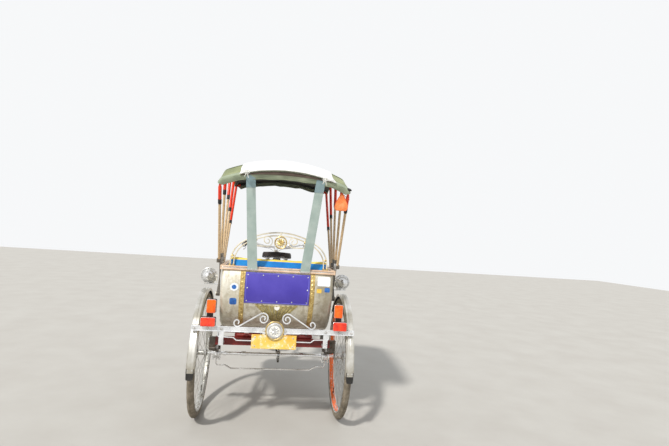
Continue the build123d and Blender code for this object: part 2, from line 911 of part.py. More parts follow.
# Handlebar on its stem
stem_top = on_head(head_high + 90)
with BuildPart() as handlebar:
    add(Solid.make_cylinder(17, 34, Plane(on_head(head_high + 72), z_dir=steer_axis)))
    clamp = stem_top + Vector(0, 62, 34)
    add(rod(stem_top, clamp, 12))
    add(rod(clamp + Vector(-22, 0, 0), clamp + Vector(22, 0, 0), 17))
    add(
        bent_rod(
            [
                clamp + Vector(-278, -215, 10),
                clamp + Vector(-250, 20, 40),
                clamp + Vector(-100, 0, 0),
                clamp + Vector(100, 0, 0),
                clamp + Vector(250, 20, 40),
                clamp + Vector(278, -215, 10),
            ],
            11,
            45,
        )
    )
    for grip in both_sides(
        [rod(clamp + Vector(278.5, -219, 9.5), clamp + Vector(265, -103, 24.3), 16)]
    ):
        add(grip)
    add(Solid.make_cylinder(steer_radius, 300, Plane(on_head(head_low - 30), z_dir=steer_axis)), mode=Mode.SUBTRACT)

# Cranks, chainring and pedals
with BuildPart() as crankset:
    add(disc(-74, 74, bracket_y, bracket_z, 9))
    add(disc(chain_x + 3, chain_x + 12, bracket_y, bracket_z, 24))
    with BuildSketch(Plane.YZ.offset(chain_x - 2)) as ring:
        with Locations((rear_y + bracket_y, bracket_z)):
            Circle(chainring_radius)
            with PolarLocations(53, 5):
                Circle(21, mode=Mode.SUBTRACT)
    extrude(amount=4)
    add(disc(chain_x, chain_x + 5, bracket_y, bracket_z, 24))
    add(block(59, 72, bracket_y - 14, bracket_y + crank_length + 12, bracket_z - 11, bracket_z + 11))
    add(block(-72, -59, bracket_y - crank_length - 12, bracket_y + 14, bracket_z - 11, bracket_z + 11))
    add(disc(72, 168, bracket_y + crank_length, bracket_z, 6))
    add(disc(-168, -72, bracket_y - crank_length, bracket_z, 6))


def pedal_solid(side):
    """Pedal block round its spindle."""
    y = bracket_y + side * crank_length
    x0, x1 = (80, 172) if side > 0 else (-172, -80)
    body = block(x0, x1, y - 38, y + 38, bracket_z - 13, bracket_z + 13)
    bore_x0, bore_x1 = (79, 168.5) if side > 0 else (-168.5, -79)
    return body - disc(bore_x0, bore_x1, y, bracket_z, 6 + running_gap)


with BuildPart() as pedal_right:
    add(pedal_solid(1))

with BuildPart() as pedal_left:
    add(pedal_solid(-1))

# Chain loop
chain_gap = 0.8
chain_height = 8.0
rear_centre = (rear_y, wheel_radius)
front_centre = (rear_y + bracket_y, bracket_z)
run = math.hypot(bracket_y, bracket_z - wheel_radius)
run_angle = math.atan2(bracket_z - wheel_radius, bracket_y)


def loop_face(extra):
    """Belt outline round both sprockets, each circle grown by the same amount."""
    r0 = sprocket_radius + extra
    r1 = chainring_radius + extra
    spread = math.acos((r0 - r1) / run)

    def p(centre, radius, angle):
        return Vector(chain_x - 4, centre[0] + radius * math.cos(angle), centre[1] + radius * math.sin(angle))

    top = run_angle + spread
    low = run_angle - spread
    edges = [
        Edge.make_line(p(rear_centre, r0, top), p(front_centre, r1, top)),
        Edge.make_three_point_arc(
            p(front_centre, r1, top), p(front_centre, r1, run_angle), p(front_centre, r1, low)
        ),
        Edge.make_line(p(front_centre, r1, low), p(rear_centre, r0, low)),
        Edge.make_three_point_arc(
            p(rear_centre, r0, low), p(rear_centre, r0, run_angle + math.pi), p(rear_centre, r0, top)
        ),
    ]
    return Face(Wire(edges))


with BuildPart() as chain:
    belt = Solid.extrude(loop_face(chain_gap + chain_height), Vector(8, 0, 0))
    belt_hole = Solid.extrude(loop_face(chain_gap), Vector(8, 0, 0))
    add(belt - belt_hole)

# Hood bows, each in its own plane through the pivot pins
pivot = at(0, pivot_y, pivot_z)


def bow_angle(bow):
    """Lean of a bow back from upright, in degrees."""
    return math.degrees(math.atan2(pivot_y - bow["crown_y"], bow["crown_z"] - pivot_z))


def bow_length(bow):
    """Pivot to crown."""
    return math.hypot(pivot_y - bow["crown_y"], bow["crown_z"] - pivot_z)


def bow_plane(angle):
    """Plane through the pivot pins, leaning back by an angle: X across, Y up the bow."""
    lean = math.radians(angle)
    return Plane(origin=pivot, x_dir=(1, 0, 0), z_dir=(0, -math.cos(lean), -math.sin(lean)))


def bow_solids(bow, index):
    """Irons, ferrules and the hoop of one bow."""
    plane = bow_plane(bow_angle(bow))
    crown = bow_length(bow)
    hoop = round_bar(
        arch_wire(plane, leg_x, iron_length, crown - shoulder_drop, corner_radius, crown), leg_radius
    )
    solids = [hoop]
    x0 = iron_first + iron_pitch * index - iron_thick / 2
    for side in (-1, 1):
        left = x0 if side > 0 else -x0 - iron_thick
        frame = plane.location
        eye = Solid.make_cylinder(13, iron_thick, Plane(pivot + Vector(left, 0, 0), z_dir=(1, 0, 0)))
        iron = Solid.make_box(iron_thick, iron_length, 14, Plane((left, 0, -7))).moved(frame)
        stack = 4 * iron_pitch + iron_thick
        stack_left = iron_first - iron_thick / 2
        socket_left = stack_left if side > 0 else -stack_left - stack
        socket = Solid.make_box(stack, 20, 14, Plane((socket_left, iron_length, -7))).moved(frame)
        solids += [eye, iron, socket]
    bore = Solid.make_cylinder(
        pin_radius + running_gap, 800, Plane(pivot - Vector(400, 0, 0), z_dir=(1, 0, 0))
    )
    return solids, bore


with BuildPart() as hood_bow_1:
    bow_pieces, bow_bore = bow_solids(BOWS[0], 0)
    for bow_piece in bow_pieces:
        add(bow_piece)
    add(bow_bore, mode=Mode.SUBTRACT)

with BuildPart() as hood_bow_2:
    bow_pieces, bow_bore = bow_solids(BOWS[1], 1)
    for bow_piece in bow_pieces:
        add(bow_piece)
    add(bow_bore, mode=Mode.SUBTRACT)

with BuildPart() as hood_bow_3:
    bow_pieces, bow_bore = bow_solids(BOWS[2], 2)
    for bow_piece in bow_pieces:
        add(bow_piece)
    add(bow_bore, mode=Mode.SUBTRACT)

with BuildPart() as hood_bow_4:
    bow_pieces, bow_bore = bow_solids(BOWS[3], 3)
    for bow_piece in bow_pieces:
        add(bow_piece)
    add(bow_bore, mode=Mode.SUBTRACT)

with BuildPart() as hood_bow_5:
    bow_pieces, bow_bore = bow_solids(BOWS[4], 4)
    for bow_piece in bow_pieces:
        add(bow_piece)
    add(bow_bore, mode=Mode.SUBTRACT)


# Hood fabric, one panel between each two bows
def cloth_gap(index):
    """Distance of the cloth above a bow's centreline that clears its tube."""
    own = Vector(0, BOWS[index]["crown_y"], BOWS[index]["crown_z"])
    up = (own - Vector(0, pivot_y, pivot_z)).normalized()
    least = 1.0
    for other in (index - 1, index + 1):
        if 0 <= other < len(BOWS):
            way = (Vector(0, BOWS[other]["crown_y"], BOWS[other]["crown_z"]) - own).normalized()
            least = min(least, up.cross(way).length)
    return (leg_radius + 0.4) / least


def band_wire(index, turn, thick, drop):
    """Closed section of the cloth over a bow."""
    plane = bow_plane(bow_angle(BOWS[index]) + turn)
    crown = bow_length(BOWS[index])
    low = cloth_gap(index)
    high = low + thick
    spring = crown - shoulder_drop + 10
    outer = arch_wire(plane, leg_x + high, crown - drop, spring, corner_radius + high, crown + high)
    inner = arch_wire(plane, leg_x + low, crown - drop, spring, corner_radius + low, crown + low)
    edges = list(outer.edges()) + list(inner.edges())
    edges.append(Edge.make_line(outer @ 0, inner @ 0))
    edges.append(Edge.make_line(outer @ 1, inner @ 1))
    return Wire.combine(edges)[0]


def cover_wire(index, turn, gap, thick, half):
    """Closed section of the loose cover lying over the cloth of a bow."""
    plane = bow_plane(bow_angle(BOWS[index]) + turn)
    crown = bow_length(BOWS[index])
    low = cloth_gap(index) + fabric_thick
    inner = leg_x - corner_radius
    rise = shoulder_drop - 10 + low
    corner = corner_radius + low
    big = (inner ** 2 + rise ** 2 - corner ** 2) / (2 * (rise - corner))
    centre = crown + low - big

    def p(u, radius):
        return plane.from_local_coords((u, centre + math.sqrt(radius ** 2 - u ** 2), 0))

    r0 = big + gap
    r1 = big + gap + thick
    return Wire(
        [
            Edge.make_three_point_arc(p(-half, r1), p(0, r1), p(half, r1)),
            Edge.make_line(p(half, r1), p(half, r0)),
            Edge.make_three_point_arc(p(half, r0), p(0, r0), p(-half, r0)),
            Edge.make_line(p(-half, r0), p(-half, r1)),
        ]
    )


def panel_solid(rear):
    """Cloth between a bow and the next one forward."""
    return Solid.make_loft(
        [
            band_wire(rear, -0.06, fabric_thick, cloth_drop),
            band_wire(rear + 1, 0.06, fabric_thick, cloth_drop),
        ],
        True,
    )


with BuildPart() as hood_panel_1:
    add(panel_solid(0))

with BuildPart() as hood_panel_2:
    add(panel_solid(1))

with BuildPart() as hood_panel_3:
    add(panel_solid(2))

with BuildPart() as hood_panel_4:
    add(panel_solid(3))

# Extra cover tied over the rear half of the hood
cover_half = 245.0
cover_gap = 0.4
cover_thick = 4.0
with BuildPart() as hood_cover:
    for rear in (0, 1):
        add(
            Solid.make_loft(
                [
                    cover_wire(rear, 0, cover_gap, cover_thick, cover_half),
                    cover_wire(rear + 1, 0, cover_gap, cover_thick, cover_half),
                ],
                True,
            )
        )

# Straps from the rear bow down to the rail
strap_width = 51.0
strap_top_x = 171.0
strap_low_x = 138.0
with BuildPart() as hood_straps:
    rear_plane = bow_plane(bow_angle(BOWS[0]))
    strap_v = bow_length(BOWS[0]) - 16
    top_point = rear_plane.from_local_coords((strap_top_x, strap_v, 0))
    low_y = rear_y - tub_back - rim_out - 0.4
    for turn in (1, -1):
        half = strap_width / 2

        def strap_face(centre_x, y, z):
            """Level section of a strap."""
            x = centre_x * turn
            return Wire.make_polygon(
                [(x - half, y - 3, z), (x + half, y - 3, z), (x + half, y, z), (x - half, y, z)]
            )

        add(
            Solid.make_loft(
                [
                    strap_face(strap_low_x, low_y, side_top + 2),
                    strap_face(strap_top_x, top_point.Y - leg_radius - 0.3, top_point.Z),
                ],
                True,
            )
        )
    add(hood_bow_1.part, mode=Mode.SUBTRACT)

parts = {
    "left_tyre": left_tyre,
    "right_tyre": right_tyre,
    "front_tyre": front_tyre,
    "left_wheel": left_wheel,
    "right_wheel": right_wheel,
    "rear_axle": rear_axle,
    "front_wheel": front_wheel,
    "body_shell": body_shell,
    "body_rim": body_rim,
    "seat_box": seat_box,
    "seat_cushion": seat_cushion,
    "back_cushion": back_cushion,
    "backrest_arch": backrest_arch,
    "sign_plate": sign_plate,
    "bumper": bumper,
    "number_plate": number_plate,
    "chassis_frame": chassis_frame,
    "rear_cross_beam": rear_cross_beam,
    "leaf_springs": leaf_springs,
    "axle_bearings": axle_bearings,
    "mudguard_left": mudguard_left,
    "mudguard_right": mudguard_right,
    "front_mudguard": front_mudguard,
    "side_lamps": side_lamps,
    "tail_lamps": tail_lamps,
    "indicator_lamps": indicator_lamps,
    "bicycle_frame": bicycle_frame,
    "saddle": saddle,
    "fork": fork,
    "handlebar": handlebar,
    "crankset": crankset,
    "pedal_right": pedal_right,
    "pedal_left": pedal_left,
    "chain": chain,
    "hood_bow_1": hood_bow_1,
    "hood_bow_2": hood_bow_2,
    "hood_bow_3": hood_bow_3,
    "hood_bow_4": hood_bow_4,
    "hood_bow_5": hood_bow_5,
    "hood_panel_1": hood_panel_1,
    "hood_panel_2": hood_panel_2,
    "hood_panel_3": hood_panel_3,
    "hood_panel_4": hood_panel_4,
    "hood_cover": hood_cover,
    "hood_straps": hood_straps,
}
os.makedirs("parts", exist_ok=True)
for part_name, built in parts.items():
    built.part.label = part_name
    export_step(built.part, f"parts/{part_name}.step")
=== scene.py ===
"""Looks of the cycle rickshaw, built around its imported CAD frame. Metres, +X right, +Y forward, +Z up."""

import json
import math

import bmesh
import bpy
from mathutils import Matrix, Vector
from mathutils.bvhtree import BVHTree


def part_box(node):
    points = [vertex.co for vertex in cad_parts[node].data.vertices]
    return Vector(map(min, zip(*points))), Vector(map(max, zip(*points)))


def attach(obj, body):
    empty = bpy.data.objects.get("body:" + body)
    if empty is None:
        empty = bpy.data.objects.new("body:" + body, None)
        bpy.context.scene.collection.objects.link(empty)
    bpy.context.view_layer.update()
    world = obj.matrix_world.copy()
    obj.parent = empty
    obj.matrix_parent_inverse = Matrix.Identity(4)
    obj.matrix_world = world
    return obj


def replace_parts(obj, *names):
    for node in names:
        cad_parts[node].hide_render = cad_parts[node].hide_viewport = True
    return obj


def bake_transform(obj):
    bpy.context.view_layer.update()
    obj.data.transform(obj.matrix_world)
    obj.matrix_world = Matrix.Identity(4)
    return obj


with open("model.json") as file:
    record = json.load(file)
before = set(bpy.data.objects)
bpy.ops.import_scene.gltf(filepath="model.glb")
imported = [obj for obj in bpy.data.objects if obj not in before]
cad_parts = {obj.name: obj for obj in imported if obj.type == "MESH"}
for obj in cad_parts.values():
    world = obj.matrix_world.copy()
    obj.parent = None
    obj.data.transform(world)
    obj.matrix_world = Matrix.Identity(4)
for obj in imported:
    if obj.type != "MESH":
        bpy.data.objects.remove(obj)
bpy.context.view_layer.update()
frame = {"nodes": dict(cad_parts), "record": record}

# Places taken from the frame: its nodes and joints by name, then the axles and the hood's pivot
nodes = frame["nodes"]
joints = {j["name"]: Vector(j["pos_m"]) for j in frame["record"]["behaviour"]["joints"]}
left_hub, front_axle, pivot = joints["left_wheel_roll"], joints["front_wheel_roll"], joints["hood_fold"]
rear_axle = Vector((0.0, left_hub.y, left_hub.z))
half_track = abs(left_hub.x)
wheel_radius = rear_axle.z
X, Y, Z = Vector((1, 0, 0)), Vector((0, 1, 0)), Vector((0, 0, 1))
# Left and right side
both = (-1, 1)


def linear(tone):
    """Linear colour of an sRGB one written as six hexadecimal digits."""
    parts = [int(tone[i : i + 2], 16) / 255.0 for i in (0, 2, 4)]
    return (*(c / 12.92 if c <= 0.04045 else ((c + 0.055) / 1.055) ** 2.4 for c in parts), 1.0)


class Paint:
    """One procedural material, built node by node around a Principled shader."""

    def __init__(self, name, metallic=0.0, rough=(0.4, 0.6), coat=0.0):
        self.mat = bpy.data.materials.new(name)
        self.mat.use_nodes = True
        self.tree = self.mat.node_tree
        self.shader = self.tree.nodes["Principled BSDF"].inputs
        self.feed(self.shader["Metallic"], metallic)
        self.feed(self.shader["Coat Weight"], coat)
        self.rough = rough
        self.place = self.node("ShaderNodeTexCoord").outputs["Object"]
        self.x, self.y, self.z = self.node("ShaderNodeSeparateXYZ", Vector=self.place).outputs

    def node(self, kind, **inputs):
        made = self.tree.nodes.new(kind)
        for key, value in inputs.items():
            self.feed(made.inputs[key.replace("_", " ")], value)
        return made

    def feed(self, socket, value):
        """Links a socket, or sets its value or its tone."""
        if isinstance(value, bpy.types.NodeSocket):
            self.tree.links.new(value, socket)
        else:
            socket.default_value = linear(value) if isinstance(value, str) else value

    def noise(self, scale, detail=4.0, rough=0.55, stretch=None, distortion=0.0):
        place = self.place
        if stretch:
            place = self.node("ShaderNodeMapping", Vector=place, Scale=stretch).outputs[0]
        say = {"Scale": scale, "Detail": detail, "Roughness": rough, "Distortion": distortion}
        return self.node("ShaderNodeTexNoise", Vector=place, **say).outputs[0]

    def math(self, operation, a, b=0.0, clamp=False):
        made = self.tree.nodes.new("ShaderNodeMath")
        made.operation, made.use_clamp = operation, clamp
        self.feed(made.inputs[0], a)
        self.feed(made.inputs[1], b)
        return made.outputs[0]

    def times(self, a, b):
        return self.math("MULTIPLY", a, b)

    def plus(self, a, b):
        return self.math("ADD", a, b)

    def less(self, a, b, clamp=False):
        return self.math("SUBTRACT", a, b, clamp)

    def step(self, value, edge, soft=0.0005):
        """0 below an edge and 1 above it."""
        made = self.node("ShaderNodeMapRange", Value=value, From_Min=edge - soft, From_Max=edge + soft)
        return made.outputs[0]

    def between(self, value, low, high, soft):
        """1 where value lies between low and high."""
        return self.less(self.step(value, low, soft), self.step(value, high, soft), True)

    def far(self, centre):
        """Distance from a point in the side plane."""
        dy, dz = self.less(self.y, centre.y), self.less(self.z, centre.z)
        return self.math("SQRT", self.plus(self.times(dy, dy), self.times(dz, dz)))

    def ramp(self, value, *stops):
        """Colours of a value; stops are (position, tone)."""
        made = self.node("ShaderNodeValToRGB", Fac=value)
        elements = made.color_ramp.elements
        while len(elements) < len(stops):
            elements.new(0.5)
        for element, (position, tone) in zip(elements, stops):
            element.position, element.color = position, linear(tone) if isinstance(tone, str) else tone
        return made.outputs[0]

    def spread(self, value, tones, low):
        """Ramp of tones, evenly from low to as far below 1."""
        tones = tones.split()
        gap = (1 - 2 * low) / (len(tones) - 1)
        return self.ramp(value, *[(low + gap * i, tone) for i, tone in enumerate(tones)])

    def mix(self, factor, a, b):
        made = self.tree.nodes.new("ShaderNodeMix")
        made.data_type = "RGBA"
        for socket, value in ((0, factor), (6, a), (7, b)):
            self.feed(made.inputs[socket], value)
        return made.outputs[2]

    def tint(self, colour, where, share, tone):
        """The colour, turned by a share towards a tone where a mask is 1."""
        return self.mix(self.times(where, share), colour, tone)

    def worn(self, colour, scale, detail, chips, soft):
        """Worn spots on the colour; chips is (tone, share), or None."""
        if not chips:
            return colour
        spots = self.step(self.noise(scale, detail, 0.7), 1.0 - chips[1], soft)
        return self.mix(spots, colour, chips[0])

    def done(self, colour, rough, height=None, distance=0.0):
        """Wires colour, roughness and bump and gives the material."""
        low, high = self.rough
        self.feed(self.shader["Base Color"], colour)
        made = self.node("ShaderNodeMapRange", Value=rough, To_Min=low, To_Max=high)
        self.feed(self.shader["Roughness"], made.outputs[0])
        if height:
            made = self.node("ShaderNodeBump", Height=height, Distance=distance, Strength=1.0)
            self.feed(self.shader["Normal"], made.outputs[0])
        return self.mat


def worn_paint(name, tones, scale=14.0, rough=(0.35, 0.6), bump=0.0004, coat=0.0, chips=None):
    """Paint or plastic with colour variation; chips is (tone, share) of worn spots."""
    p = Paint(name, 0.0, rough, coat)
    colour = p.worn(p.spread(p.noise(scale, 6.0), tones, 0.25), scale * 4, 8.0, chips, 0.03)
    return p.done(colour, p.noise(scale * 2.3, 5.0), p.noise(scale * 12, 3.0), bump)


def chrome(name, tint, dull, rough=(0.12, 0.38), scale=18.0, rust=None, metal=1.0):
    """Bright plated steel with hazy patches."""
    p = Paint(name, metal, rough)
    colour = p.ramp(p.noise(scale, 7.0, 0.6), (0.3, dull), (0.62, tint))
    colour = p.worn(colour, scale * 3.5, 9.0, rust, 0.04)
    return p.done(colour, p.noise(scale * 1.6, 6.0), p.noise(scale * 9, 4.0), 0.0002)


def cloth(name, tones, weave=700.0, rough=(0.75, 0.95), blotch=9.0, sheen=0.2):
    """Woven cloth: fine crossed threads over blotchy fading."""
    p = Paint(name, 0.0, rough)
    p.feed(p.shader["Sheen Weight"], sheen)
    colour = p.spread(p.noise(blotch, 6.0), tones, 0.28)
    across = p.math("SINE", p.times(p.x, weave * 2))
    along = p.math("SINE", p.times(p.plus(p.y, p.z), weave * 2))
    threads = p.times(across, along)
    colour = p.mix(p.math("MULTIPLY", p.plus(threads, 1.0), 0.07, True), colour, "282c26")
    height = p.plus(p.times(threads, 0.3), p.noise(blotch * 5, 4.0))
    return p.done(colour, p.noise(blotch * 3), height, 0.0005)


def tyre_material():
    p = Paint("tyre_rubber", 0.0, (0.75, 0.95))
    field = p.noise(22.0, 8.0, 0.65)
    dusty = p.ramp(field, (0.3, "625a4e"), (0.5, "7e7464"), (0.72, "9e9484"))
    return p.done(dusty, field, p.noise(160.0, 5.0), 0.0006)


def wheel_material(name, centre, well=None):
    """Plated rim, spokes and hub; well is the tone of a patchy band on the rim's inner face."""
    p = Paint(name, 1.0, (0.16, 0.42))
    field = p.noise(24.0, 7.0, 0.6)
    colour = p.ramp(field, (0.3, "a8a396"), (0.6, "e2e2de"))
    radius = p.far(centre)
    colour = p.tint(colour, p.between(radius, 0.03, 0.3, 0.002), 0.35, "96948c")
    if well:
        # Patchy band in the well's tone on the rim's inner face, made less metallic there
        worn = p.times(p.between(radius, 0.3065, 0.3135, 0.001), p.step(p.noise(60.0, 6.0), 0.36, 0.05))
        colour = p.mix(worn, colour, well)
        p.feed(p.shader["Metallic"], p.less(1.0, p.times(worn, 0.8)))
    hub = p.less(1.0, p.step(radius, 0.03, 0.002))
    grime = p.times(hub, p.step(p.noise(90.0, 6.0), 0.5, 0.1))
    return p.done(p.tint(colour, grime, 0.7, "3e3428"), field, p.noise(120.0, 4.0), 0.0002)


def tub_material():
    """Weathered tin with gilt upright bands across the back."""
    p = Paint("tub_tin", 0.45, (0.36, 0.62))
    field = p.noise(6.5, 9.0, 0.68, distortion=0.4)
    tin = p.ramp(field, (0.28, "a69a80"), (0.44, "ccc5b0"), (0.58, "e4dfd0"), (0.75, "f2f0e8"))
    streaks = p.noise(30.0, 6.0, 0.6, (1.0, 1.0, 0.12))
    tin = p.tint(tin, p.step(streaks, 0.56, 0.08), 0.45, "8c7854")
    scuffs = p.step(p.noise(24.0, 9.0, 0.74, distortion=0.8), 0.56, 0.05)
    tin = p.tint(tin, scuffs, 0.55, "eeece2")
    stains = p.step(p.noise(11.0, 9.0, 0.7, distortion=1.2), 0.6, 0.04)
    tin = p.tint(tin, stains, 0.6, "8e7650")
    specks = p.step(p.noise(95.0, 8.0, 0.72), 0.66, 0.03)
    tin = p.tint(tin, specks, 0.7, "5c4c34")
    back = p.less(1.0, p.step(p.y, rear_axle.y - 0.24, 0.002))
    # Painted shade: the right end of the back is darkened, as it is turned from the light
    right_shade_edge = p.plus(p.x, p.times(p.noise(14.0, 8.0, 0.7), 0.24))
    tin = p.tint(tin, p.times(p.step(right_shade_edge, 0.33, 0.05), back), 0.6, "7a705c")
    band = p.times(p.between(p.math("ABSOLUTE", p.x), 0.172, 0.196, 0.0008), back)
    chased = p.noise(150.0, 5.0, 0.6)
    gilt = p.ramp(chased, (0.35, "967a42"), (0.5, "c8ae6e"), (0.68, "e6d49c"))
    height = p.plus(p.times(p.noise(9.0, 3.0), 4.0), p.times(p.times(chased, band), 1.2))
    return p.done(p.mix(band, tin, gilt), streaks, p.plus(height, p.times(specks, 0.12)), 0.0012)


def bow_material():
    """Varnished pole below, black band, red paint above, by the distance from the pivot; the crown is painted
    black as shade.
    """
    p = Paint("bow_paint", 0.0, (0.25, 0.5))
    far = p.far(pivot)
    grain = p.noise(60.0, 6.0, 0.6, (6.0, 6.0, 0.5))
    wood = p.ramp(grain, (0.3, "a48058"), (0.5, "ceb086"), (0.7, "ead6b6"))
    red = p.ramp(p.noise(30.0, 5.0), (0.3, "ce2a12"), (0.7, "f04a22"))
    black = p.ramp(p.noise(40.0), (0.3, "181616"), (0.7, "343230"))
    iron = p.ramp(p.noise(50.0), (0.3, "423c36"), (0.7, "807a70"))
    colour = p.mix(p.step(far, 0.226, 0.001), iron, wood)
    colour = p.mix(p.step(far, 0.545, 0.0015), colour, black)
    colour = p.mix(p.step(far, 0.572, 0.0015), colour, red)
    # Painted shade: the crown between the legs is black, for the shade under the canopy
    shaded_crown = p.less(1.0, p.step(p.math("ABSOLUTE", p.x), 0.289, 0.002))
    return p.done(p.mix(shaded_crown, colour, black), grain, p.noise(200.0, 3.0), 0.0003)


def back_pad_material():
    """Blue back pad with a yellow band sewn along its top."""
    p = Paint("back_pad", 0.0, (0.35, 0.55))
    field = p.noise(12.0, 6.0)
    blue = p.ramp(field, (0.3, "066cc0"), (0.5, "0e84d8"), (0.72, "2898e6"))
    yellow = p.ramp(field, (0.3, "ecc840"), (0.7, "fce874"))
    colour = p.mix(p.step(p.z, wheel_radius + 0.582, 0.0012), blue, yellow)
    return p.done(colour, p.noise(36.0), p.noise(90.0, 4.0), 0.0005)


mats = {
    "tyre": tyre_material(),
    "left_wheel": wheel_material("left_wheel_plate", rear_axle),
    "right_wheel": wheel_material("right_wheel_plate", rear_axle, "ee7032"),
    "front_wheel": wheel_material("front_wheel_plate", front_axle),
    "tub": tub_material(),
    "bow": bow_material(),
    "rim": worn_paint("rim_paint", "ba9274 dabca0 ecd8c2", 20, chips=("8c6c54", 0.31)),
    "wood": worn_paint("seat_wood", "52321e 70482c 865c3a", 18),
    "plate": worn_paint("violet_plate", "3a2e92 4438a2 5246b0", 6, (0.3, 0.5)),
    "yellow": worn_paint("yellow_plate", "dcaa3a f0c85c f6e096", 12, chips=("eee6cc", 0.42)),
    "red": worn_paint("frame_red", "521412 701c18 862820", 16, chips=("46342c", 0.35)),
    "trim": chrome("trim_chrome", "f0f1f2", "bebcb6", metal=0.78),
    "pennant": cloth("pennant_orange", "ea7434 f68e4e fcaa70", 1100.0, blotch=40),
    "pennant_edge": cloth("pennant_edge", "de5c2c ee7440", 1100.0, blotch=40),
    "bumper": chrome("bumper_chrome", "f8fafd", "d0d2d6", (0.16, 0.4), metal=0.6),
    "axle": chrome("axle_steel", "fafbfc", "e2e2df", (0.12, 0.3), 30.0, ("a0907a", 0.2), 0.92),
    "gilt": chrome("gilt_brass", "e6ce8c", "aa8a4e", (0.24, 0.45), 60.0, ("785e36", 0.34), 0.8),
    "olive": chrome("fan_brass", "cec088", "968652", (0.3, 0.5), 50.0, ("685834", 0.34), 0.7),
    "enamel": worn_paint("white_enamel", "cecabe e8e6de f4f2ec", 40, (0.2, 0.4), coat=0.4),
    "glass": worn_paint("lamp_glass", "c4ced0 dce4e6 eef2f2", 40, (0.06, 0.18), coat=0.8),
    "black": worn_paint("black_paint", "100f0e 1e1c1b 2e2a27", 40, (0.4, 0.7)),
    "flap": worn_paint("flap_rubber", "161514 242220 3e3934", 30, (0.6, 0.85), bump=0.0006),
    # Painted highlight: lighter copy of the sign's violet for its pressed border
    "plate_edge_highlight": worn_paint("plate_border_highlight", "5c58be 706ccc 8280d6", 20, (0.25, 0.45)),
    "sticker_pale": worn_paint(
        "sticker_pale", "d6dce2 ecf0f2 f8f8f6", 60, (0.25, 0.5), chips=("b0aca0", 0.36)
    ),
    "sticker_blue": worn_paint(
        "sticker_blue", "1e4a92 2864b2 4a88cc", 60, (0.25, 0.5), chips=("808ca0", 0.34)
    ),
    "sticker_yellow": worn_paint(
        "sticker_yellow", "cca034 e6be4e f0d070", 60, (0.25, 0.5), chips=("96825a", 0.34)
    ),
    "cream": chrome("arch_plate", "faf4e2", "e0d0ac", (0.22, 0.45), metal=0.5),
    "guard": chrome("guard_steel", "e8e6e0", "bab4a4", (0.2, 0.45), 12.0, ("a0865c", 0.33)),
    "spring": chrome("spring_steel", "706a62", "3a322c", (0.4, 0.7), 26.0, ("603c24", 0.4)),
    "chain": chrome("chain_steel", "605a52", "282420", (0.35, 0.6), 60.0),
    "leather": worn_paint("saddle_leather", "1a1410 2c221c 403228", 30, (0.4, 0.65), bump=0.0008),
    "rubber": worn_paint("pedal_rubber", "161616 282624", 40, (0.6, 0.85)),
    "lens_red": worn_paint("lens_red", "cc200a ee3814 f85c28", 30, (0.12, 0.3), coat=0.6),
    "lens_orange": worn_paint("lens_orange", "d44806 ee660c f8801c", 30, (0.16, 0.34), coat=0.35),
    "green": cloth("hood_green", "687658 849270 9ca684"),
    "strap": cloth("strap_green", "a8bcb6 baccc6 cad8d2", blotch=14),
    "canopy": cloth("canopy_green", "68724a 8a9262 acb280", blotch=7),
    # Painted shade: near-black copy of the canopy cloth for the hood's underside
    "lining_shade": cloth("canopy_underside_shade", "282a24 3a3a30 4a483a", blotch=7),
    "hem": cloth("canopy_hem", "68725c 828c72 969e82", blotch=16),
    "valance": cloth("valance_sage", "849078 9ea88e b2baa0", blotch=12),
    "sleeve": worn_paint("sleeve_red", "ce2a12 e23a1a f04e26", 30, (0.25, 0.45)),
    # Painted shadow: dark brown cloth for the strip under the white cover's edge
    "cover_shadow_brown": cloth("cover_shadow_brown", "4a3c34 605046 746458", blotch=20),
    # Painted shade: darker copy of the strap cloth for the strap's top end under the hood
    "strap_top_shade": cloth("strap_end_shade", "809aa0 92acb2 a0b8bc", blotch=14),
    "rope": cloth("tie_rope", "c4c4be e0e0da f0f0ec", weave=1400.0, blotch=40),
    "white": cloth("cover_white", "e8e8e8 f6f6f6 fcfcfc", sheen=0.0),
    "blue": cloth("seat_blue", "0462b6 0a7ace 2290de", rough=(0.35, 0.55)),
    "back_pad": back_pad_material(),
    "piping": cloth("piping_yellow", "deb21e f6ce2e fcde5c", 1200.0, (0.4, 0.6), 30),
}

# Looks of the CAD nodes
for look, names in (
    ("tyre", "left_tyre right_tyre front_tyre"),
    ("left_wheel", "left_wheel"),
    ("right_wheel", "right_wheel"),
    ("front_wheel", "front_wheel"),
    ("tub", "body_shell"),
    ("rim", "body_rim"),
    ("wood", "seat_box"),
    ("cream", "backrest_arch"),
    ("plate", "sign_plate"),
    ("yellow", "number_plate"),
    ("red", "chassis_frame rear_cross_beam bicycle_frame fork"),
    ("trim", "axle_bearings side_lamps handlebar crankset"),
    ("bumper", "bumper"),
    ("guard", "mudguard_left mudguard_right front_mudguard"),
    ("spring", "leaf_springs"),
    ("axle", "rear_axle"),
    ("chain", "chain"),
    ("leather", "saddle"),
    ("rubber", "pedal_left pedal_right"),
    ("lens_red", "tail_lamps"),
    ("lens_orange", "indicator_lamps"),
    ("bow", "hood_bow_1 hood_bow_2 hood_bow_3 hood_bow_4 hood_bow_5"),
    ("green", "hood_panel_1 hood_panel_2 hood_panel_3 hood_panel_4"),
    ("white", "hood_cover"),
    ("strap", "hood_straps"),
    ("blue", "seat_cushion back_cushion"),
):
    for name in names.split():
        nodes[name].data.materials.clear()
        nodes[name].data.materials.append(mats[look])


# Points and lines
def vec(x, y, z):
    return Vector((x, y, z))


def here(x, y, z):
    """Point given by its distance forward of the rear axle."""
    return vec(x, rear_axle.y + y, z)


def shares(count):
    """Even shares from 0 to 1."""
    return [i / count for i in range(count + 1)]


def spread(count):
    """Even shares from -1 to 1."""
    return [-1 + 2 * t for t in shares(count)]


def line(a, b, count):
    """Evenly spaced points from a to b."""
    return [a.lerp(b, t) for t in shares(count)]


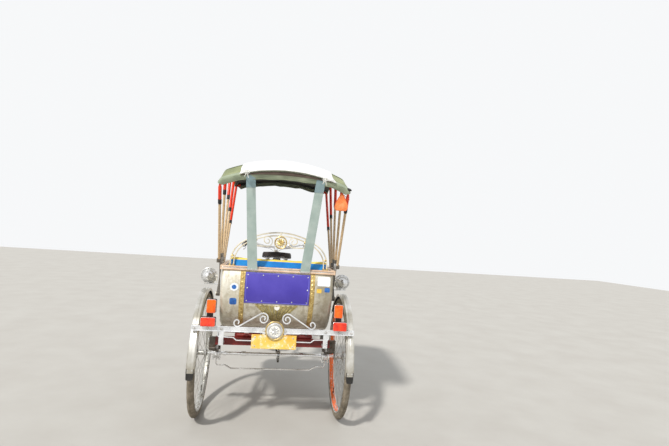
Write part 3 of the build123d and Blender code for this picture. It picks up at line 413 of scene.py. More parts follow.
def mm(text):
    """Rows of numbers in metres, from text that has them in millimetres."""
    return [tuple(float(n) / 1000 for n in row.split(",")) for row in text.split()]


def toward(u, v, degrees):
    """Direction at an angle from u towards v."""
    a = math.radians(degrees)
    return u * math.cos(a) + v * math.sin(a)


def circle(centre, u, v, radius, count):
    """Points of a circle, from u towards v."""
    return [centre + toward(u, v, 360.0 * k / count) * radius for k in range(count)]


def across_of(direction):
    """Two unit vectors across a direction."""
    side = direction.cross(Z)
    if side.length < 1e-3:
        side = direction.cross(Y)
    side.normalize()
    return side, direction.cross(side).normalized()


def smooth_line(points, count):
    """Points on a smooth curve through the given ones."""
    out = []
    spans = len(points) - 1
    for i in range(count + 1):
        t = spans * i / count
        k = min(int(t), spans - 1)
        f = t - k
        p0, p1, p2, p3 = points[max(k - 1, 0)], points[k], points[k + 1], points[min(k + 2, spans)]
        bend = (p0 * 2 - p1 * 5 + p2 * 4 - p3) * f**2 + (p1 * 3 - p0 - p2 * 3 + p3) * f**3
        out.append((p1 * 2 + (p2 - p0) * f + bend) * 0.5)
    return out


def wave(*terms):
    """Smooth ripple from a few sines, the same each run; a term is (height, pace, place, start)."""
    return sum(a * math.sin(f * x + p) for a, f, x, p in terms)


# Mesh helpers. A chunk is (vertices, faces); a piece is joined chunks.
def add_object(name, data):
    """Puts data in the scene as an object."""
    made = bpy.data.objects.new(name, data)
    bpy.context.collection.objects.link(made)
    return made


def put(name, chunks, look, smooth, body="carriage"):
    """Piece from chunks that rides a body, shaded smooth below an angle in degrees."""
    verts, faces = [], []
    for points, polys in chunks:
        base = len(verts)
        verts += [tuple(p) for p in points]
        faces += [tuple(base + i for i in poly) for poly in polys]
    mesh = bpy.data.meshes.new(name)
    mesh.from_pydata(verts, [], faces)
    build = bmesh.new()
    build.from_mesh(mesh)
    bmesh.ops.recalc_face_normals(build, faces=build.faces)
    for face in build.faces:
        face.smooth = True
    for edge in build.edges:
        edge.smooth = len(edge.link_faces) == 2 and edge.calc_face_angle(0.0) < math.radians(smooth)
    build.to_mesh(mesh)
    build.free()
    mesh.materials.append(mats[look])
    piece = add_object(name, mesh)
    if body:
        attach(piece, body)
    return piece


def grid(rows, closed=False, wrap=False):
    """Chunk from rows of points; closed joins each row's ends, wrap the last row to the first."""
    n = len(rows[0])
    faces = []
    for i in range(len(rows) if wrap else len(rows) - 1):
        j = (i + 1) % len(rows)
        for k in range(n if closed else n - 1):
            m = (k + 1) % n
            faces.append((i * n + k, i * n + m, j * n + m, j * n + k))
    return [p for row in rows for p in row], faces


def capped(rows):
    """Closed tube of rows with both ends filled."""
    verts, faces = grid(rows, closed=True)
    n = len(rows[0])
    return verts, faces + [tuple(reversed(range(n))), tuple(range(len(verts) - n, len(verts)))]


def skins(rows):
    """Closed sheet from rows of (outer, inner) points."""
    deep, n = len(rows), len(rows[0])
    base = deep * n
    faces = grid(rows)[1]
    faces += [tuple(base + face[i] for i in (0, 3, 2, 1)) for face in faces]
    ends = [(i * n + k, (i + 1) * n + k) for i in range(deep - 1) for k in (0, n - 1)]
    ends += [(i * n + k, i * n + k + 1) for k in range(n - 1) for i in (0, deep - 1)]
    faces += [(a, b, base + b, base + a) for a, b in ends]
    return [pair[k] for k in (0, 1) for row in rows for pair in row], faces


def tube(points, radius, sides=8):
    """Round bar through points."""
    rows = []
    side = None
    for i, p in enumerate(points):
        ahead = (points[min(i + 1, len(points) - 1)] - points[max(i - 1, 0)]).normalized()
        side = side or across_of(ahead)[0]
        side = (side - ahead * side.dot(ahead)).normalized()
        rows.append(circle(p, side, ahead.cross(side), radius, sides))
    return capped(rows)


def ring(centre, axis, major, minor, around=40, sides=8):
    """Torus about an axis."""
    axis = axis.normalized()
    side, up = across_of(axis)
    outs = circle(vec(0, 0, 0), side, up, 1.0, around)
    rows = [circle(centre + out * major, out, axis, minor, sides) for out in outs]
    return grid(rows, closed=True, wrap=True)


def lathe(centre, axis, profile, around=40):
    """Turned form about an axis; profile has (along, radius), or is text in millimetres."""
    axis = axis.normalized()
    side, up = across_of(axis)
    if isinstance(profile, str):
        profile = mm(profile)
    least = 1e-5
    rows = [circle(centre + axis * along, side, up, max(radius, least), around) for along, radius in profile]
    return capped(rows)


def bolt(place, axis, radius, height=0.003, sides=6):
    """Domed or six-sided head standing on a face."""
    profile = [(-0.001, radius), (height * 0.7, radius), (height, radius * 0.72), (height * 1.05, 0.0)]
    return lathe(place, axis, profile, sides)


def round_box(half_u, half_v, corner, steps):
    """Outline of a rectangle with rounded corners, as pairs."""
    inner_u, inner_v = half_u - corner, half_v - corner
    out = []
    for su, sv, turn in ((1, 1, 0), (-1, 1, 90), (-1, -1, 180), (1, -1, 270)):
        for t in shares(steps):
            a = math.radians(turn + 90.0 * t)
            out.append((su * inner_u + corner * math.cos(a), sv * inner_v + corner * math.sin(a)))
    return out


def slab(centre, u, v, half_u, half_v, thick, corner, steps):
    """Thin plate with rounded corners and bevelled edges; thick goes along u x v."""
    u, v = u.normalized(), v.normalized()
    rows = []
    for scale, lift in ((1.0, 0.0), (1.0, thick * 0.75), (1.0 - 0.25 * thick / half_v, thick)):
        base = centre + u.cross(v) * lift
        rows.append([base + (u * a + v * b) * scale for a, b in round_box(half_u, half_v, corner, steps)])
    return capped(rows)


# Hood geometry, the same arches as the CAD bows
leg_x, leg_radius, corner_radius, shoulder_drop = 0.316, 0.007, 0.025, 0.095
crowns = mm("-575,1385 -330,1468 -30,1512 250,1518 470,1460")
crowns = [here(0.0, y, z) for y, z in crowns]
bow_up = [(c - pivot).normalized() for c in crowns]
bow_long = [(c - pivot).length for c in crowns]


def cloth_gap(k):
    """Cloth's distance above a bow's centreline."""
    least = 1.0
    for other in (k - 1, k + 1):
        if 0 <= other < len(crowns):
            least = min(least, bow_up[k].cross((crowns[other] - crowns[k]).normalized()).length)
    return (leg_radius + 0.0004) / least


def arch_profile(half, foot, spring, corner, top, count):
    """Evenly spaced (across, up, outward across, outward up) along a three-centred arch, and its length."""
    rise = top - spring
    inner = half - corner
    big = (inner**2 + rise**2 - corner**2) / (2 * (rise - corner))
    centre = top - big
    lean = math.atan2(spring - centre, inner)
    leg = spring - foot
    arc_small = corner * lean
    total = 2 * leg + 2 * arc_small + big * (math.pi - 2 * lean)
    out = []
    for t in shares(count - 1):
        flip = -1.0 if t > 0.5 else 1.0
        s = total * min(t, 1 - t)
        if s <= leg:
            x, z, nx, nz = -half, foot + s, -1.0, 0.0
        else:
            small = s <= leg + arc_small
            a = math.pi - (s - leg) / corner if small else math.pi - lean - (s - leg - arc_small) / big
            nx, nz = math.cos(a), math.sin(a)
            x, z = (corner * nx - inner, spring + corner * nz) if small else (big * nx, centre + big * nz)
        out.append((x * flip, z, nx * flip, nz))
    return out, total


def bow_point(k, across, up, back=0.0):
    """Point in a bow's plane: across, up from the pivot, and back off the plane."""
    return pivot + X * across + bow_up[k] * up + vec(0, -bow_up[k].z, bow_up[k].y) * back


def over_bow(k, place, lift=0.0, back=0.0):
    """Point at a place of a bow's profile, lifted outward and moved back off the plane."""
    return bow_point(k, place[0] + place[2] * lift, place[1] + place[3] * lift, back)


def bow_normal(k, place):
    return X * place[2] + bow_up[k] * place[3]


def bow_profile(k, lift, count, drop=0.078):
    """Cloth line over a bow, lift above the bow's centreline, and its length."""
    crown = bow_long[k]
    spring = crown - shoulder_drop + 0.01
    return arch_profile(leg_x + lift, crown - drop, spring, corner_radius + lift, crown + lift, count)


def blend_bows(piece):
    """Bakes the piece's placement into its mesh."""
    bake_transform(piece)


def hood_panel(k):
    """Cloth between two bows: two skins with a hem, sagging a little between the bows."""
    count, steps, thick, hem_thick = 121, 14, 0.0022, 0.0042
    low = [bow_profile(i, cloth_gap(i) + 0.0003, count)[0] for i in (k, k + 1)]
    rows = []
    for t in shares(steps):
        span = math.sin(math.pi * t)
        row = []
        for s, a, b in zip(shares(count - 1), *low):
            edge = min(s, 1 - s) * 2
            p = over_bow(k, a).lerp(over_bow(k + 1, b), t)
            n = bow_normal(k, a).lerp(bow_normal(k + 1, b), t).normalized()
            sag = 0.006 * (0.35 + 0.65 * min(1.0, edge * 2.5))
            crease = wave((0.0011, 46.0, s, k * 1.7), (0.0008, 87.0, s + 0.13 * t, 0.6 * k))
            crease += wave((0.0005, 9.0, t + s, k))
            pull = 0.0022 * math.exp(-(((edge - 0.16) / 0.07) ** 2))
            lift = span * (crease - sag - pull)
            row.append((p + n * (lift + (hem_thick if edge < 0.035 else thick)), p + n * lift))
        rows.append(row)
    piece = put(f"canopy_{k + 1}", [skins(rows)], "canopy", 60, None)
    # The inner skin wears a near-black copy of the canopy cloth: painted shade of the hood's underside
    cells = (count - 1) * steps
    for poly in piece.data.polygons[cells : 2 * cells]:
        poly.material_index = 1
    piece.data.materials.append(mats["lining_shade"])
    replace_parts(piece, f"hood_panel_{k + 1}")
    blend_bows(piece)
    area = (bow_profile(k, 0.012, 9)[1] + bow_profile(k + 1, 0.012, 9)[1]) / 2


def binding(k):
    """Sewn band over a bow where two cloth panels meet."""
    places = bow_profile(k, cloth_gap(k) + 0.0027, 101)[0]
    section = mm("-12,-1.6 -11.5,0.4 -4,1.1")
    section += [(-back, lift) for back, lift in reversed(section)]
    rows = [[over_bow(k, a, lift, back) for a in places] for back, lift in section]
    put(f"canopy_seam_{k + 1}", [grid(rows)], "hem", 60, f"bow_{k + 1}")


def hanging_hem(k, places, section, fall, sway, away):
    """Hem over an end bow; section is (off the bow's plane, lift), fall and sway vary what hangs."""
    thin = 0.0016
    rows = []
    for off, lift in section:
        row = []
        for i, a in enumerate(places):
            s = i / (len(places) - 1)
            drop = lift if lift > 0 else lift * fall(s)
            out = away * (off + (sway(s) if lift < -0.006 else 0.0))
            inside = (drop - thin, out) if lift > 0 else (drop, out - away * thin)
            row.append((over_bow(k, a, drop, out), over_bow(k, a, *inside)))
        rows.append(row)
    return skins(rows)


def rear_valance():
    """Rear hem of the canopy: over the rear bow, down its back, with a rolled edge and a dark strip of
    painted shadow.
    """
    count = 121
    places = bow_profile(0, cloth_gap(0) + 0.001, count)[0]

    def fall(s):
        deep = 0.62 + 0.38 * math.sin(math.pi * min(1.0, max(0.0, (s - 0.16) / 0.68)))
        return deep * (1 + wave((0.03, 21.0, s, 0.4), (0.02, 47.0, s, 2.0)))

    def sway(s):
        return 0.0009 * wave((1.0, 33.0, s, 0.0), (0.6, 71.0, s, 1.0))

    section = mm("-20,1.8 0,2.6 8.8,0.8 11.2,-8 11.5,-20 11.2,-34 10.2,-40")
    piece = put("rear_valance", [hanging_hem(0, places, section, fall, sway, 1)], "valance", 60, "bow_1")
    bow_profile(0, 0.01, 9)[1]
    along = list(zip(shares(count - 1), places))
    path = [over_bow(0, a, -0.041 * fall(s), 0.0108 + sway(s)) for s, a in along]
    put("valance_hem", [tube(path, 0.0022)], "hem", 60, "bow_1")
    # Painted shadow: a dark brown strip between the white cover and the hem, widest in the middle, for the
    # shadow under the cover's edge
    rows = []
    for part in shares(4):
        row = []
        for s, a in along:
            if abs(s - 0.5) <= 0.33:
                drop = -0.0005 - 0.0165 * math.cos(math.pi * (s - 0.5) / 0.68) * part
                out = 0.0096 + 0.0034 * min(1.0, part * 2)
                row.append((over_bow(0, a, drop, out + 0.0009), over_bow(0, a, drop, out)))
        rows.append(row)
    put("cover_shadow_strip", [skins(rows)], "cover_shadow_brown", 60, "bow_1")
    # Black cap on the hem's right end
    root = over_bow(0, places[-5], 0.003, 0.006)
    profile = "-9,0 -8,4 -3,6.2 6,6.4 12,5 16,2.2 17,0"
    put("valance_cap", [lathe(root, vec(1.0, -0.1, -0.35), profile, 24)], "black", 40, "bow_1")


def front_valance():
    """Front hem: a sleeve round the front hoop and a short flap that hangs before it."""
    count, drop = 101, 0.06
    places = bow_profile(4, 0.0, count, drop)[0]
    # The sleeve wears the same dark cloth: painted shade under the hood
    put("front_sleeve", [tube([over_bow(4, a) for a in places], 0.0086, 10)], "lining_shade", 60, "bow_5")
    top = bow_profile(4, cloth_gap(4) + 0.0012, count, drop)[0]

    def fall(s):
        return 1 + wave((0.07, 23.0, s, 1.4), (0.04, 41.0, s, 0.2))

    def sway(s):
        return 0.0016 * wave((1.0, 31.0, s, 0.6), (0.6, 67.0, s, 1.4))

    section = mm("0,2.2 8.8,1.2 11.2,-8 11.8,-24 11.2,-44")
    piece = put("front_valance", [hanging_hem(4, top, section, fall, sway, -1)], "valance", 60, "bow_5")
    bow_profile(4, 0.01, 9, drop)[1]


def pole_sleeves():
    """Red plastic sleeve and black ferrule on the upper part of every pole."""
    sleeve = leg_radius + 0.0016
    ferrule = sleeve + 0.0005
    for k, long in enumerate(bow_long):
        top = long - shoulder_drop - 0.002
        red = [(0.571, 0.0072), (0.572, sleeve), (top - 0.003, sleeve), (top, 0.0073)]
        black = [(0.545, 0.0072), (0.547, ferrule), (0.57, ferrule), (0.5725, 0.0073)]
        for name, profile, look in (("sleeves", red, "sleeve"), ("ferrules", black, "black")):
            chunks = [lathe(bow_point(k, side * leg_x, 0.0), bow_up[k], profile, 20) for side in both]
            put(f"pole_{name}_{k + 1}", chunks, look, 40, f"bow_{k + 1}")


# Reach of the white cover to the left and right of the middle, and its length over the curve for one
# of the straight line
cover_left, cover_right, curve_share = -0.224, 0.243, 1.016
cover_middle, cover_half = (cover_left + cover_right) / 2, (cover_right - cover_left) / 2


def cover_frame(k):
    """Centre height and radius of the cover's line over a bow."""
    low = cloth_gap(k) + 0.003
    rise = shoulder_drop - 0.01 + low
    corner = corner_radius + low
    big = ((leg_x - corner_radius) ** 2 + rise**2 - corner**2) / (2 * (rise - corner))
    return bow_long[k] + low - big, big


def cover_piece(k, name, first, replaced=None):
    """Loose white cover between two bows; a first share below 0 lets it droop past the rear bow."""
    frames = [cover_frame(i) for i in (k, k + 1)]
    rows = []
    for share in shares(14):
        t = first + (1.0 - first) * share
        tt = max(t, 0.0)
        row = []
        for u in spread(80):
            across = cover_middle + u * cover_half + u * 0.003 * math.sin(6 * t + 2 * u)
            ends = [centre + math.sqrt((big + 0.0012) ** 2 - across**2) for centre, big in frames]
            p = bow_point(k, across, ends[0]).lerp(bow_point(k + 1, across, ends[1]), tt)
            n = (bow_up[k].lerp(bow_up[k + 1], tt).normalized() + X * (across / frames[1][1])).normalized()
            loft = 0.0012 + 0.0032 * math.sin(math.pi * tt) * (1 - u * u) * 0.6
            loft += 0.0011 * abs(wave((1.0, 5.2, u, 4.1 * t), (0.6, 11.0, u, 1.0 + 3 * t)))
            loft -= 0.0012 * max(0.0, (abs(u) - 0.9) / 0.1)
            if t < 0:
                over = t / first
                p = p - Y * 0.015 * over - bow_up[k] * (0.003 * over**1.5 + 0.003 * over * abs(u) ** 3)
                loft += 0.002 * over * wave((1.0, 9.0, u, 0.5), (0.5, 21.0, u, 1.4))
            row.append((p + n * (loft + 0.0016), p + n * loft))
        rows.append(row)
    piece = put(name, [skins(rows)], "white", 60, None)
    if replaced:
        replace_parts(piece, replaced)
    blend_bows(piece)


def cover_ties():
    """Hem rope of the cover and the small knots that hold it to the rear bow."""
    centre, big = cover_frame(0)
    path = []
    for u in spread(60):
        across = cover_middle + u * cover_half
        up = centre + math.sqrt((big + 0.0035) ** 2 - across**2)
        path.append(bow_point(0, across, up - 0.0035 - 0.003 * abs(u) ** 3) - Y * 0.0155)
    chunks = [tube(path, 0.0026)]
    # Across and height of each knot, and of the place where its rope meets the hem
    for knot, rise in (mm("-187,1368 -212,1374"), mm("187,1362 231,1366")):
        knot = here(knot[0], -0.604, knot[1])
        rise = here(rise[0], -0.594, rise[1])
        for lean, size in ((38, 0.0068), (142, 0.006), (205, 0.005)):
            chunks.append(ring(knot + toward(X, Z, lean) * size, vec(0.15, 1, 0.1), size, 0.0019, 20, 6))
        profile = "0,2.5 3,4.8 7,4.8 10,2.5"
        chunks.append(lathe(knot - X * 0.005, X, profile, 12))
        for dx, dz in mm("-11,-20 8,-24"):
            tail = [knot, knot + vec(dx * 0.5, -0.002, dz * 0.45), knot + vec(dx, 0.0, dz)]
            chunks.append(tube(tail, 0.002, 6))
        chunks.append(tube([knot, knot.lerp(rise, 0.5) + vec(0, -0.002, -0.003), rise], 0.002, 6))
    put("cover_ties", chunks, "rope", 60, "bow_1")


def strap(name, side):
    """Webbing strap pulled from the rail up behind the rear bow."""
    low = here(side * 0.138, -0.3596, 0.889)
    high = bow_point(0, side * 0.171, bow_long[0] - 0.016) - Y * 0.0078
    along = high - low
    way = along.normalized()
    off = X.cross(way)
    rows = []
    for t in shares(40):
        half = 0.0258 * (1 - t) + 0.0215 * t
        row = []
        for u in spread(12):
            ripple = 0.0009 * wave((1.0, 9.0, t, 2.0 * u), (0.7, 19.0, t, 1.0 + u)) * math.sin(math.pi * t)
            p = low + along * t + X * u * half + off * (0.0012 + ripple + 0.0012 * (1 - u * u))
            row.append((p + off * 0.0011, p))
        rows.append(row)
    piece = put(name, [skins(rows)], "strap", 60, None)
    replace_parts(piece, "hood_straps")
    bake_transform(piece)
    # End sewn back over itself, darker as painted shade from the hood above, and the stitched foot held by a
    # batten
    fold = []
    for share in shares(8):
        t = 0.865 + 0.135 * share
        half = 0.0258 * (1 - t) + 0.0215 * t + 0.0008
        places = (-1, -0.97, -0.5, 0, 0.5, 0.97, 1)
        row = [low + along * t + X * u * half + off * (0.0034 + 0.0012 * (1 - u * u)) for u in places]
        fold.append([row[0] - off * 0.0022] + row + [row[-1] - off * 0.0022])
    top = put(name + "_end", [grid(fold)], "strap_top_shade", 60, None)
    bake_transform(top)
    foot = low + way * 0.006
    batten = [slab(foot + off * 0.0038, X, along, 0.0285, 0.0045, 0.002, 0.001, 2)]
    batten += [bolt(foot + off * 0.0056 + X * x, off, 0.003, 0.0015, 12) for x in (0.018, -0.018)]
    put(name + "_batten", batten, "trim", 30)


for k in range(4):
    hood_panel(k)
for k in range(1, 5):
    binding(k)
pole_sleeves()
rear_valance()
front_valance()
cover_piece(0, "cover_rear", -0.12, "hood_cover")
cover_piece(1, "cover_front", 0.0)
cover_ties()
strap("strap_left", -1)
strap("strap_right", 1)

# Trim of the carriage
tub_side_top, rim_half, rim_high, rim_back = wheel_radius + 0.528, 0.304, 0.022, -0.358
rim_top = tub_side_top + rim_high
bumper_mid, bumper_face = wheel_radius + 0.218, -0.353
guard_outer, guard_half = wheel_radius + 0.028, 0.021
arch_line, arch_crown = -0.347, tub_side_top + 0.209


def circle_through(a, b, c):
    """Centre and radius of the circle through three points of the side plane."""
    (ax, ay), (bx, by), (cx, cy) = a, b, c
    d = 2 * (ax * (by - cy) + bx * (cy - ay) + cx * (ay - by))
    aa, bb, cc = (x * x + y * y for x, y in (a, b, c))
    ux = (aa * (by - cy) + bb * (cy - ay) + cc * (ay - by)) / d
    uy = (aa * (cx - bx) + bb * (ax - cx) + cc * (bx - ax)) / d
    return ux, uy, math.hypot(ax - ux, ay - uy)


back_y, back_z, back_radius = circle_through(
    (-0.350, tub_side_top), (-0.362, wheel_radius + 0.388), (-0.215, wheel_radius + 0.205)
)


def on_back(x, z, off=0.0):
    """Point of the tub's curved back at a height, moved out along the surface normal."""
    rise = (z - back_z) / back_radius
    out = vec(0.0, -math.sqrt(max(0.0, 1 - rise * rise)), rise)
    return here(x, back_y, back_z) + out * (back_radius + off)


def back_line(a, b, off, count):
    """Points on the tub's back between two (across, height) places."""
    return [on_back(a[0] + (b[0] - a[0]) * t, a[1] + (b[1] - a[1]) * t, off) for t in shares(count)]


def back_patch(x0, x1, z0, z1, off, thick, corner):
    """Thin sheet with rounded corners that follows the tub's back."""
    rows = []
    for v in shares(8):
        near = min(v, 1 - v) * (z1 - z0)
        cut = corner - math.sqrt(max(0.0, corner**2 - max(0.0, corner - near) ** 2))
        places = [(x0 + cut + (x1 - x0 - 2 * cut) * t, z0 + (z1 - z0) * v) for t in shares(8)]
        rows.append([(on_back(x, z, off + thick), on_back(x, z, off)) for x, z in places])
    return skins(rows)


def rim_moulding():
    """Two beads and a bright strip round the outside of the rim, and its screws."""
    corner, inset = 0.014, 0.0014
    edge = rim_half - inset
    # name, height above the tub, radius, look
    for name, lift, radius, look in (
        ("rim_bead_low", 0.004, 0.0046, "rim"),
        ("rim_bead_high", 0.018, 0.0046, "rim"),
        ("rim_strip", 0.011, 0.0026, "trim"),
    ):
        path = []
        for side in (1, -1):
            run = [here(side * edge, y, tub_side_top + lift) for y in (0.06, 0.0, -0.1, -0.2, -0.3)]
            middle = here(side * (edge - corner), rim_back + inset + corner, tub_side_top + lift)
            run += [middle + toward(X * side, -Y, 15 * i) * corner for i in range(7)]
            path += run if side > 0 else reversed(run)
        put(name, [tube(path, radius)], look, 60)
    places = [(side * (rim_half - 0.011), y) for side in both for y in (-0.24, -0.12, 0.0)]
    places += [(x, rim_back + 0.006) for x in (-0.24, -0.08, 0.08, 0.24)]
    put("rim_screws", [bolt(here(x, y, rim_top), Z, 0.0042, 0.002, 12) for x, y in places], "trim", 30)


def gilt_bands():
    """Pressed strips beside the sign, beaded at both edges, with a row of lozenges between."""
    chunks = []
    inner, outer, count, tip = 0.173, 0.195, 13, 0.0085
    low, high = wheel_radius + 0.232, tub_side_top - 0.004
    for side in both:
        chunks.append(back_patch(*sorted((side * inner, side * outer)), low, high, 0.0001, 0.0011, 0.002))
        for x in (inner, outer):
            chunks.append(tube(back_line((side * x, low), (side * x, high), 0.0012, 20), 0.0017, 6))
        x = side * (inner + outer) / 2
        for i in range(count):
            z = low + (high - low) * (i + 0.5) / count
            places = ((x - tip * 0.8, z), (x, z + tip), (x + tip * 0.8, z), (x, z - tip))
            verts = [on_back(x, z, 0.004)] + [on_back(*place, 0.0012) for place in places]
            chunks.append((verts, [(0, 1, 2), (0, 2, 3), (0, 3, 4), (0, 4, 1)]))
    put("gilt_bands", chunks, "gilt", 25)


def fan():
    """Pressed fan under the sign plate: ribs that spread from one point, with a small blank boss on top."""
    chunks = []
    foot, top, half = wheel_radius + 0.238, wheel_radius + 0.352, 0.112
    high, ribs, gap = top - foot, 9, 0.012
    for k in range(ribs):
        a0, a1 = -1 + 2 * k / ribs + gap, -1 + 2 * (k + 1) / ribs - gap
        rows = []
        for share in shares(8):
            t = 0.1 + 0.9 * share
            row = []
            for u in shares(6):
                a = a0 + (a1 - a0) * u
                swell = math.sin(math.pi * u)
                z = foot + high * t * (1 - 0.06 * (1 - a * a) * t + 0.05 * swell)
                row.append(on_back(a * half * t, z, 0.0004 + 0.0034 * max(0.0, swell) ** 0.7))
            rows.append(row)
        chunks.append(grid(rows))
    chunks.append(tube(back_line((-half, top - 0.004), (half, top - 0.004), 0.0014, 20), 0.002, 6))
    for side in both:
        chunks.append(tube(back_line((0.0, foot), (side * half, top), 0.001, 12), 0.0018, 6))
    put("tub_fan", chunks, "olive", 40)
    face = on_back(0.004, top - 0.012, 0.002)
    boss = [lathe(face, -Y, "-2,13 1.5,13 3,11.5 3.2,0", 28)]
    boss.append(ring(face - Y * 0.002, Y, 0.0128, 0.0015, 28, 6))
    put("fan_boss", boss, "enamel", 35)


def stickers():
    """Blank stickers and badges on the back."""
    # name, left, right, bottom, top, corner, off the back, look
    for name, x0, x1, z0, z1, corner, off, look in (
        ("round", -0.247, -0.203, 0.776, 0.819, 0.0215, 0.0002, "sticker_pale"),
        ("round_middle", -0.237, -0.213, 0.786, 0.809, 0.0115, 0.001, "sticker_blue"),
        ("low", -0.245, -0.209, 0.704, 0.739, 0.006, 0.0002, "sticker_blue"),
        ("white", 0.210, 0.279, 0.823, 0.873, 0.004, 0.0002, "sticker_pale"),
        ("yellow", 0.208, 0.234, 0.786, 0.808, 0.004, 0.0002, "sticker_yellow"),
        ("dark", 0.250, 0.278, 0.792, 0.816, 0.004, 0.0002, "sticker_blue"),
    ):
        put("sticker_" + name, [back_patch(x0, x1, z0, z1, off, 0.0007, corner)], look, 40)


def sign_trim():
    """Pressed border and rivets of the sign."""
    half, low, high, off, inset = 0.170, tub_side_top - 0.169, tub_side_top - 0.007, 0.0032, 0.006
    x, z0, z1 = half - inset, low + inset, high - inset
    path = back_line((-x, z1), (x, z1), off, 16)
    path += back_line((x, z1), (x, z0), off, 12)[1:]
    path += back_line((x, z0), (-x, z0), off, 16)[1:]
    path += back_line((-x, z0), (-x, z1), off, 12)[1:]
    # The border wears a lighter violet than the plate: painted highlight on the raised bead
    put("sign_border", [tube(path, 0.0018, 6)], "plate_edge_highlight", 60)
    places = [(x, z) for x in (-0.158, -0.079, 0.0, 0.079, 0.158) for z in (low + 0.014, high - 0.014)]
    places += [(x, (low + high) / 2) for x in (-0.158, 0.158)]
    rivets = []
    for x, z in places:
        place = on_back(x, z, off - 0.0004)
        rivets.append(bolt(place, place - here(x, back_y, back_z), 0.0034, 0.0022, 12))
    put("sign_rivets", rivets, "trim", 30)


def beads(centre, radius, profile, count):
    """Ring of small turned beads facing back."""
    return [lathe(place, -Y, profile, 6) for place in circle(centre, X, Z, radius, count)]


def rosette(name, centre, radius, rings, petals, gold="gilt"):
    """Round ornament facing back: a turned ring, a pale dish and a flower of pressed petals, all plain."""
    chunks = [ring(centre - Y * 0.001, Y, radius - 0.003, 0.0032, 48)]
    chunks += [ring(centre - Y * 0.001, Y, radius * share, 0.0014, 40, 6) for share in rings]
    chunks += beads(centre, radius * 0.84, mm("0,1.6 1.8,1.2 2.2,0"), 30)
    put(name + "_ring", chunks, gold, 40)
    profile = [(-0.001, radius * 0.8), (0.0006, radius * 0.8), (0.0024, radius * 0.45), (0.003, 0.0)]
    put(name + "_dish", [lathe(centre, -Y, profile)], "enamel", 40)
    flower = []
    for k in range(petals):
        turn = 360.0 * k / petals + math.degrees(0.2)
        way, side = toward(X, Z, turn), toward(Z, -X, turn)
        rows = []
        for t in shares(6):
            wide = radius * 0.11 * math.sin(math.pi * min(1.0, 0.12 + 0.88 * t)) ** 0.6
            middle = centre + way * radius * (0.16 + 0.52 * t) - Y * (0.0026 + 0.0012 * math.sin(math.pi * t))
            rows.append([middle + side * wide * u - Y * 0.0012 * (1 - u * u) for u in spread(4)])
        flower.append(grid(rows))
    profile = [(0, radius * 0.16), (0.002, radius * 0.13), (0.003, 0.0)]
    flower.append(lathe(centre - Y * 0.0026, -Y, profile, 20))
    put(name + "_flower", flower, gold, 40)


def bumper_trim():
    """Folded lips, bolts and ornaments of the bumper, and the number plate's border."""
    lips = []
    for lift in (0.0118, -0.0118):
        ends = [here(x, bumper_face - 0.0002, bumper_mid + lift) for x in (-0.426, 0.426)]
        lips.append(tube(line(*ends, 30), 0.0021, 6))
    put("bumper_lips", lips, "bumper", 60)
    heads = []
    for side in both:
        for x, lift in mm("414,0 274,0 345,2 56,0"):
            place = here(side * x, bumper_face, bumper_mid + lift)
            heads.append(lathe(place, -Y, "0,8.5 1.2,8.5 1.4,6", 16))
            heads.append(bolt(place - Y * 0.001, -Y, 0.0062, 0.005, 6))
    put("bumper_bolts", heads, "trim", 30)
    crest = here(0, bumper_face, bumper_mid + 0.002)
    rosette("bumper_crest", crest - Y * 0.0125, 0.036, (), 8, "trim")
    rim = [ring(crest - Y * 0.0085, Y, 0.0465, 0.0034, 56)]
    rim += beads(crest - Y * 0.0078, 0.0415, mm("0,1.9 2,1.2 2.4,0"), 40)
    put("bumper_crest_rim", rim, "gilt", 40)
    top, low, half, face = bumper_mid - 0.022, bumper_mid - 0.096, 0.118, bumper_face - 0.0022
    x, z0, z1 = half - 0.004, low + 0.004, top - 0.004
    corners = [here(*place) for place in ((-x, face, z1), (x, face, z1), (x, face, z0), (-x, face, z0))]
    border = [tube(line(a, b, 8), 0.0014, 6) for a, b in zip(corners, corners[1:] + corners[:1])]
    put("number_plate_border", border, "yellow", 60)
    bolts = []
    for z, radius, height, sides in ((top - 0.014, 0.005, 0.003, 6), (low + 0.014, 0.004, 0.002, 12)):
        bolts += [bolt(here(side * 0.1, face + 0.0006, z), -Y, radius, height, sides) for side in both]
    put("number_plate_bolts", bolts, "trim", 30)


def arch_trim():
    """Ornament in the middle of the arched rail, and the collars where its bars meet."""
    rosette("arch_crest", here(0, arch_line - 0.0045, arch_crown - 0.052), 0.034, (0.5,), 10)
    collars = []

    def collar(x, z, axis, end, middle, sides=12):
        profile = [(-0.006, end), (-0.002, middle), (0.002, middle), (0.006, end)]
        collars.append(lathe(here(x, arch_line, z), axis, profile, sides))

    for side in both:
        for x in (0.238, 0.256):
            foot = here(side * x, arch_line, rim_top - 0.001)
            collars.append(lathe(foot, Z, "0,9 3,9 6,6 11,5.2", 14))
        collar(side * 0.2465, tub_side_top + 0.075, X, 0.0045, 0.0058)
        collar(side * 0.13, arch_crown - 0.045, Z, 0.0042, 0.006)
    put("arch_collars", collars, "gilt", 35)


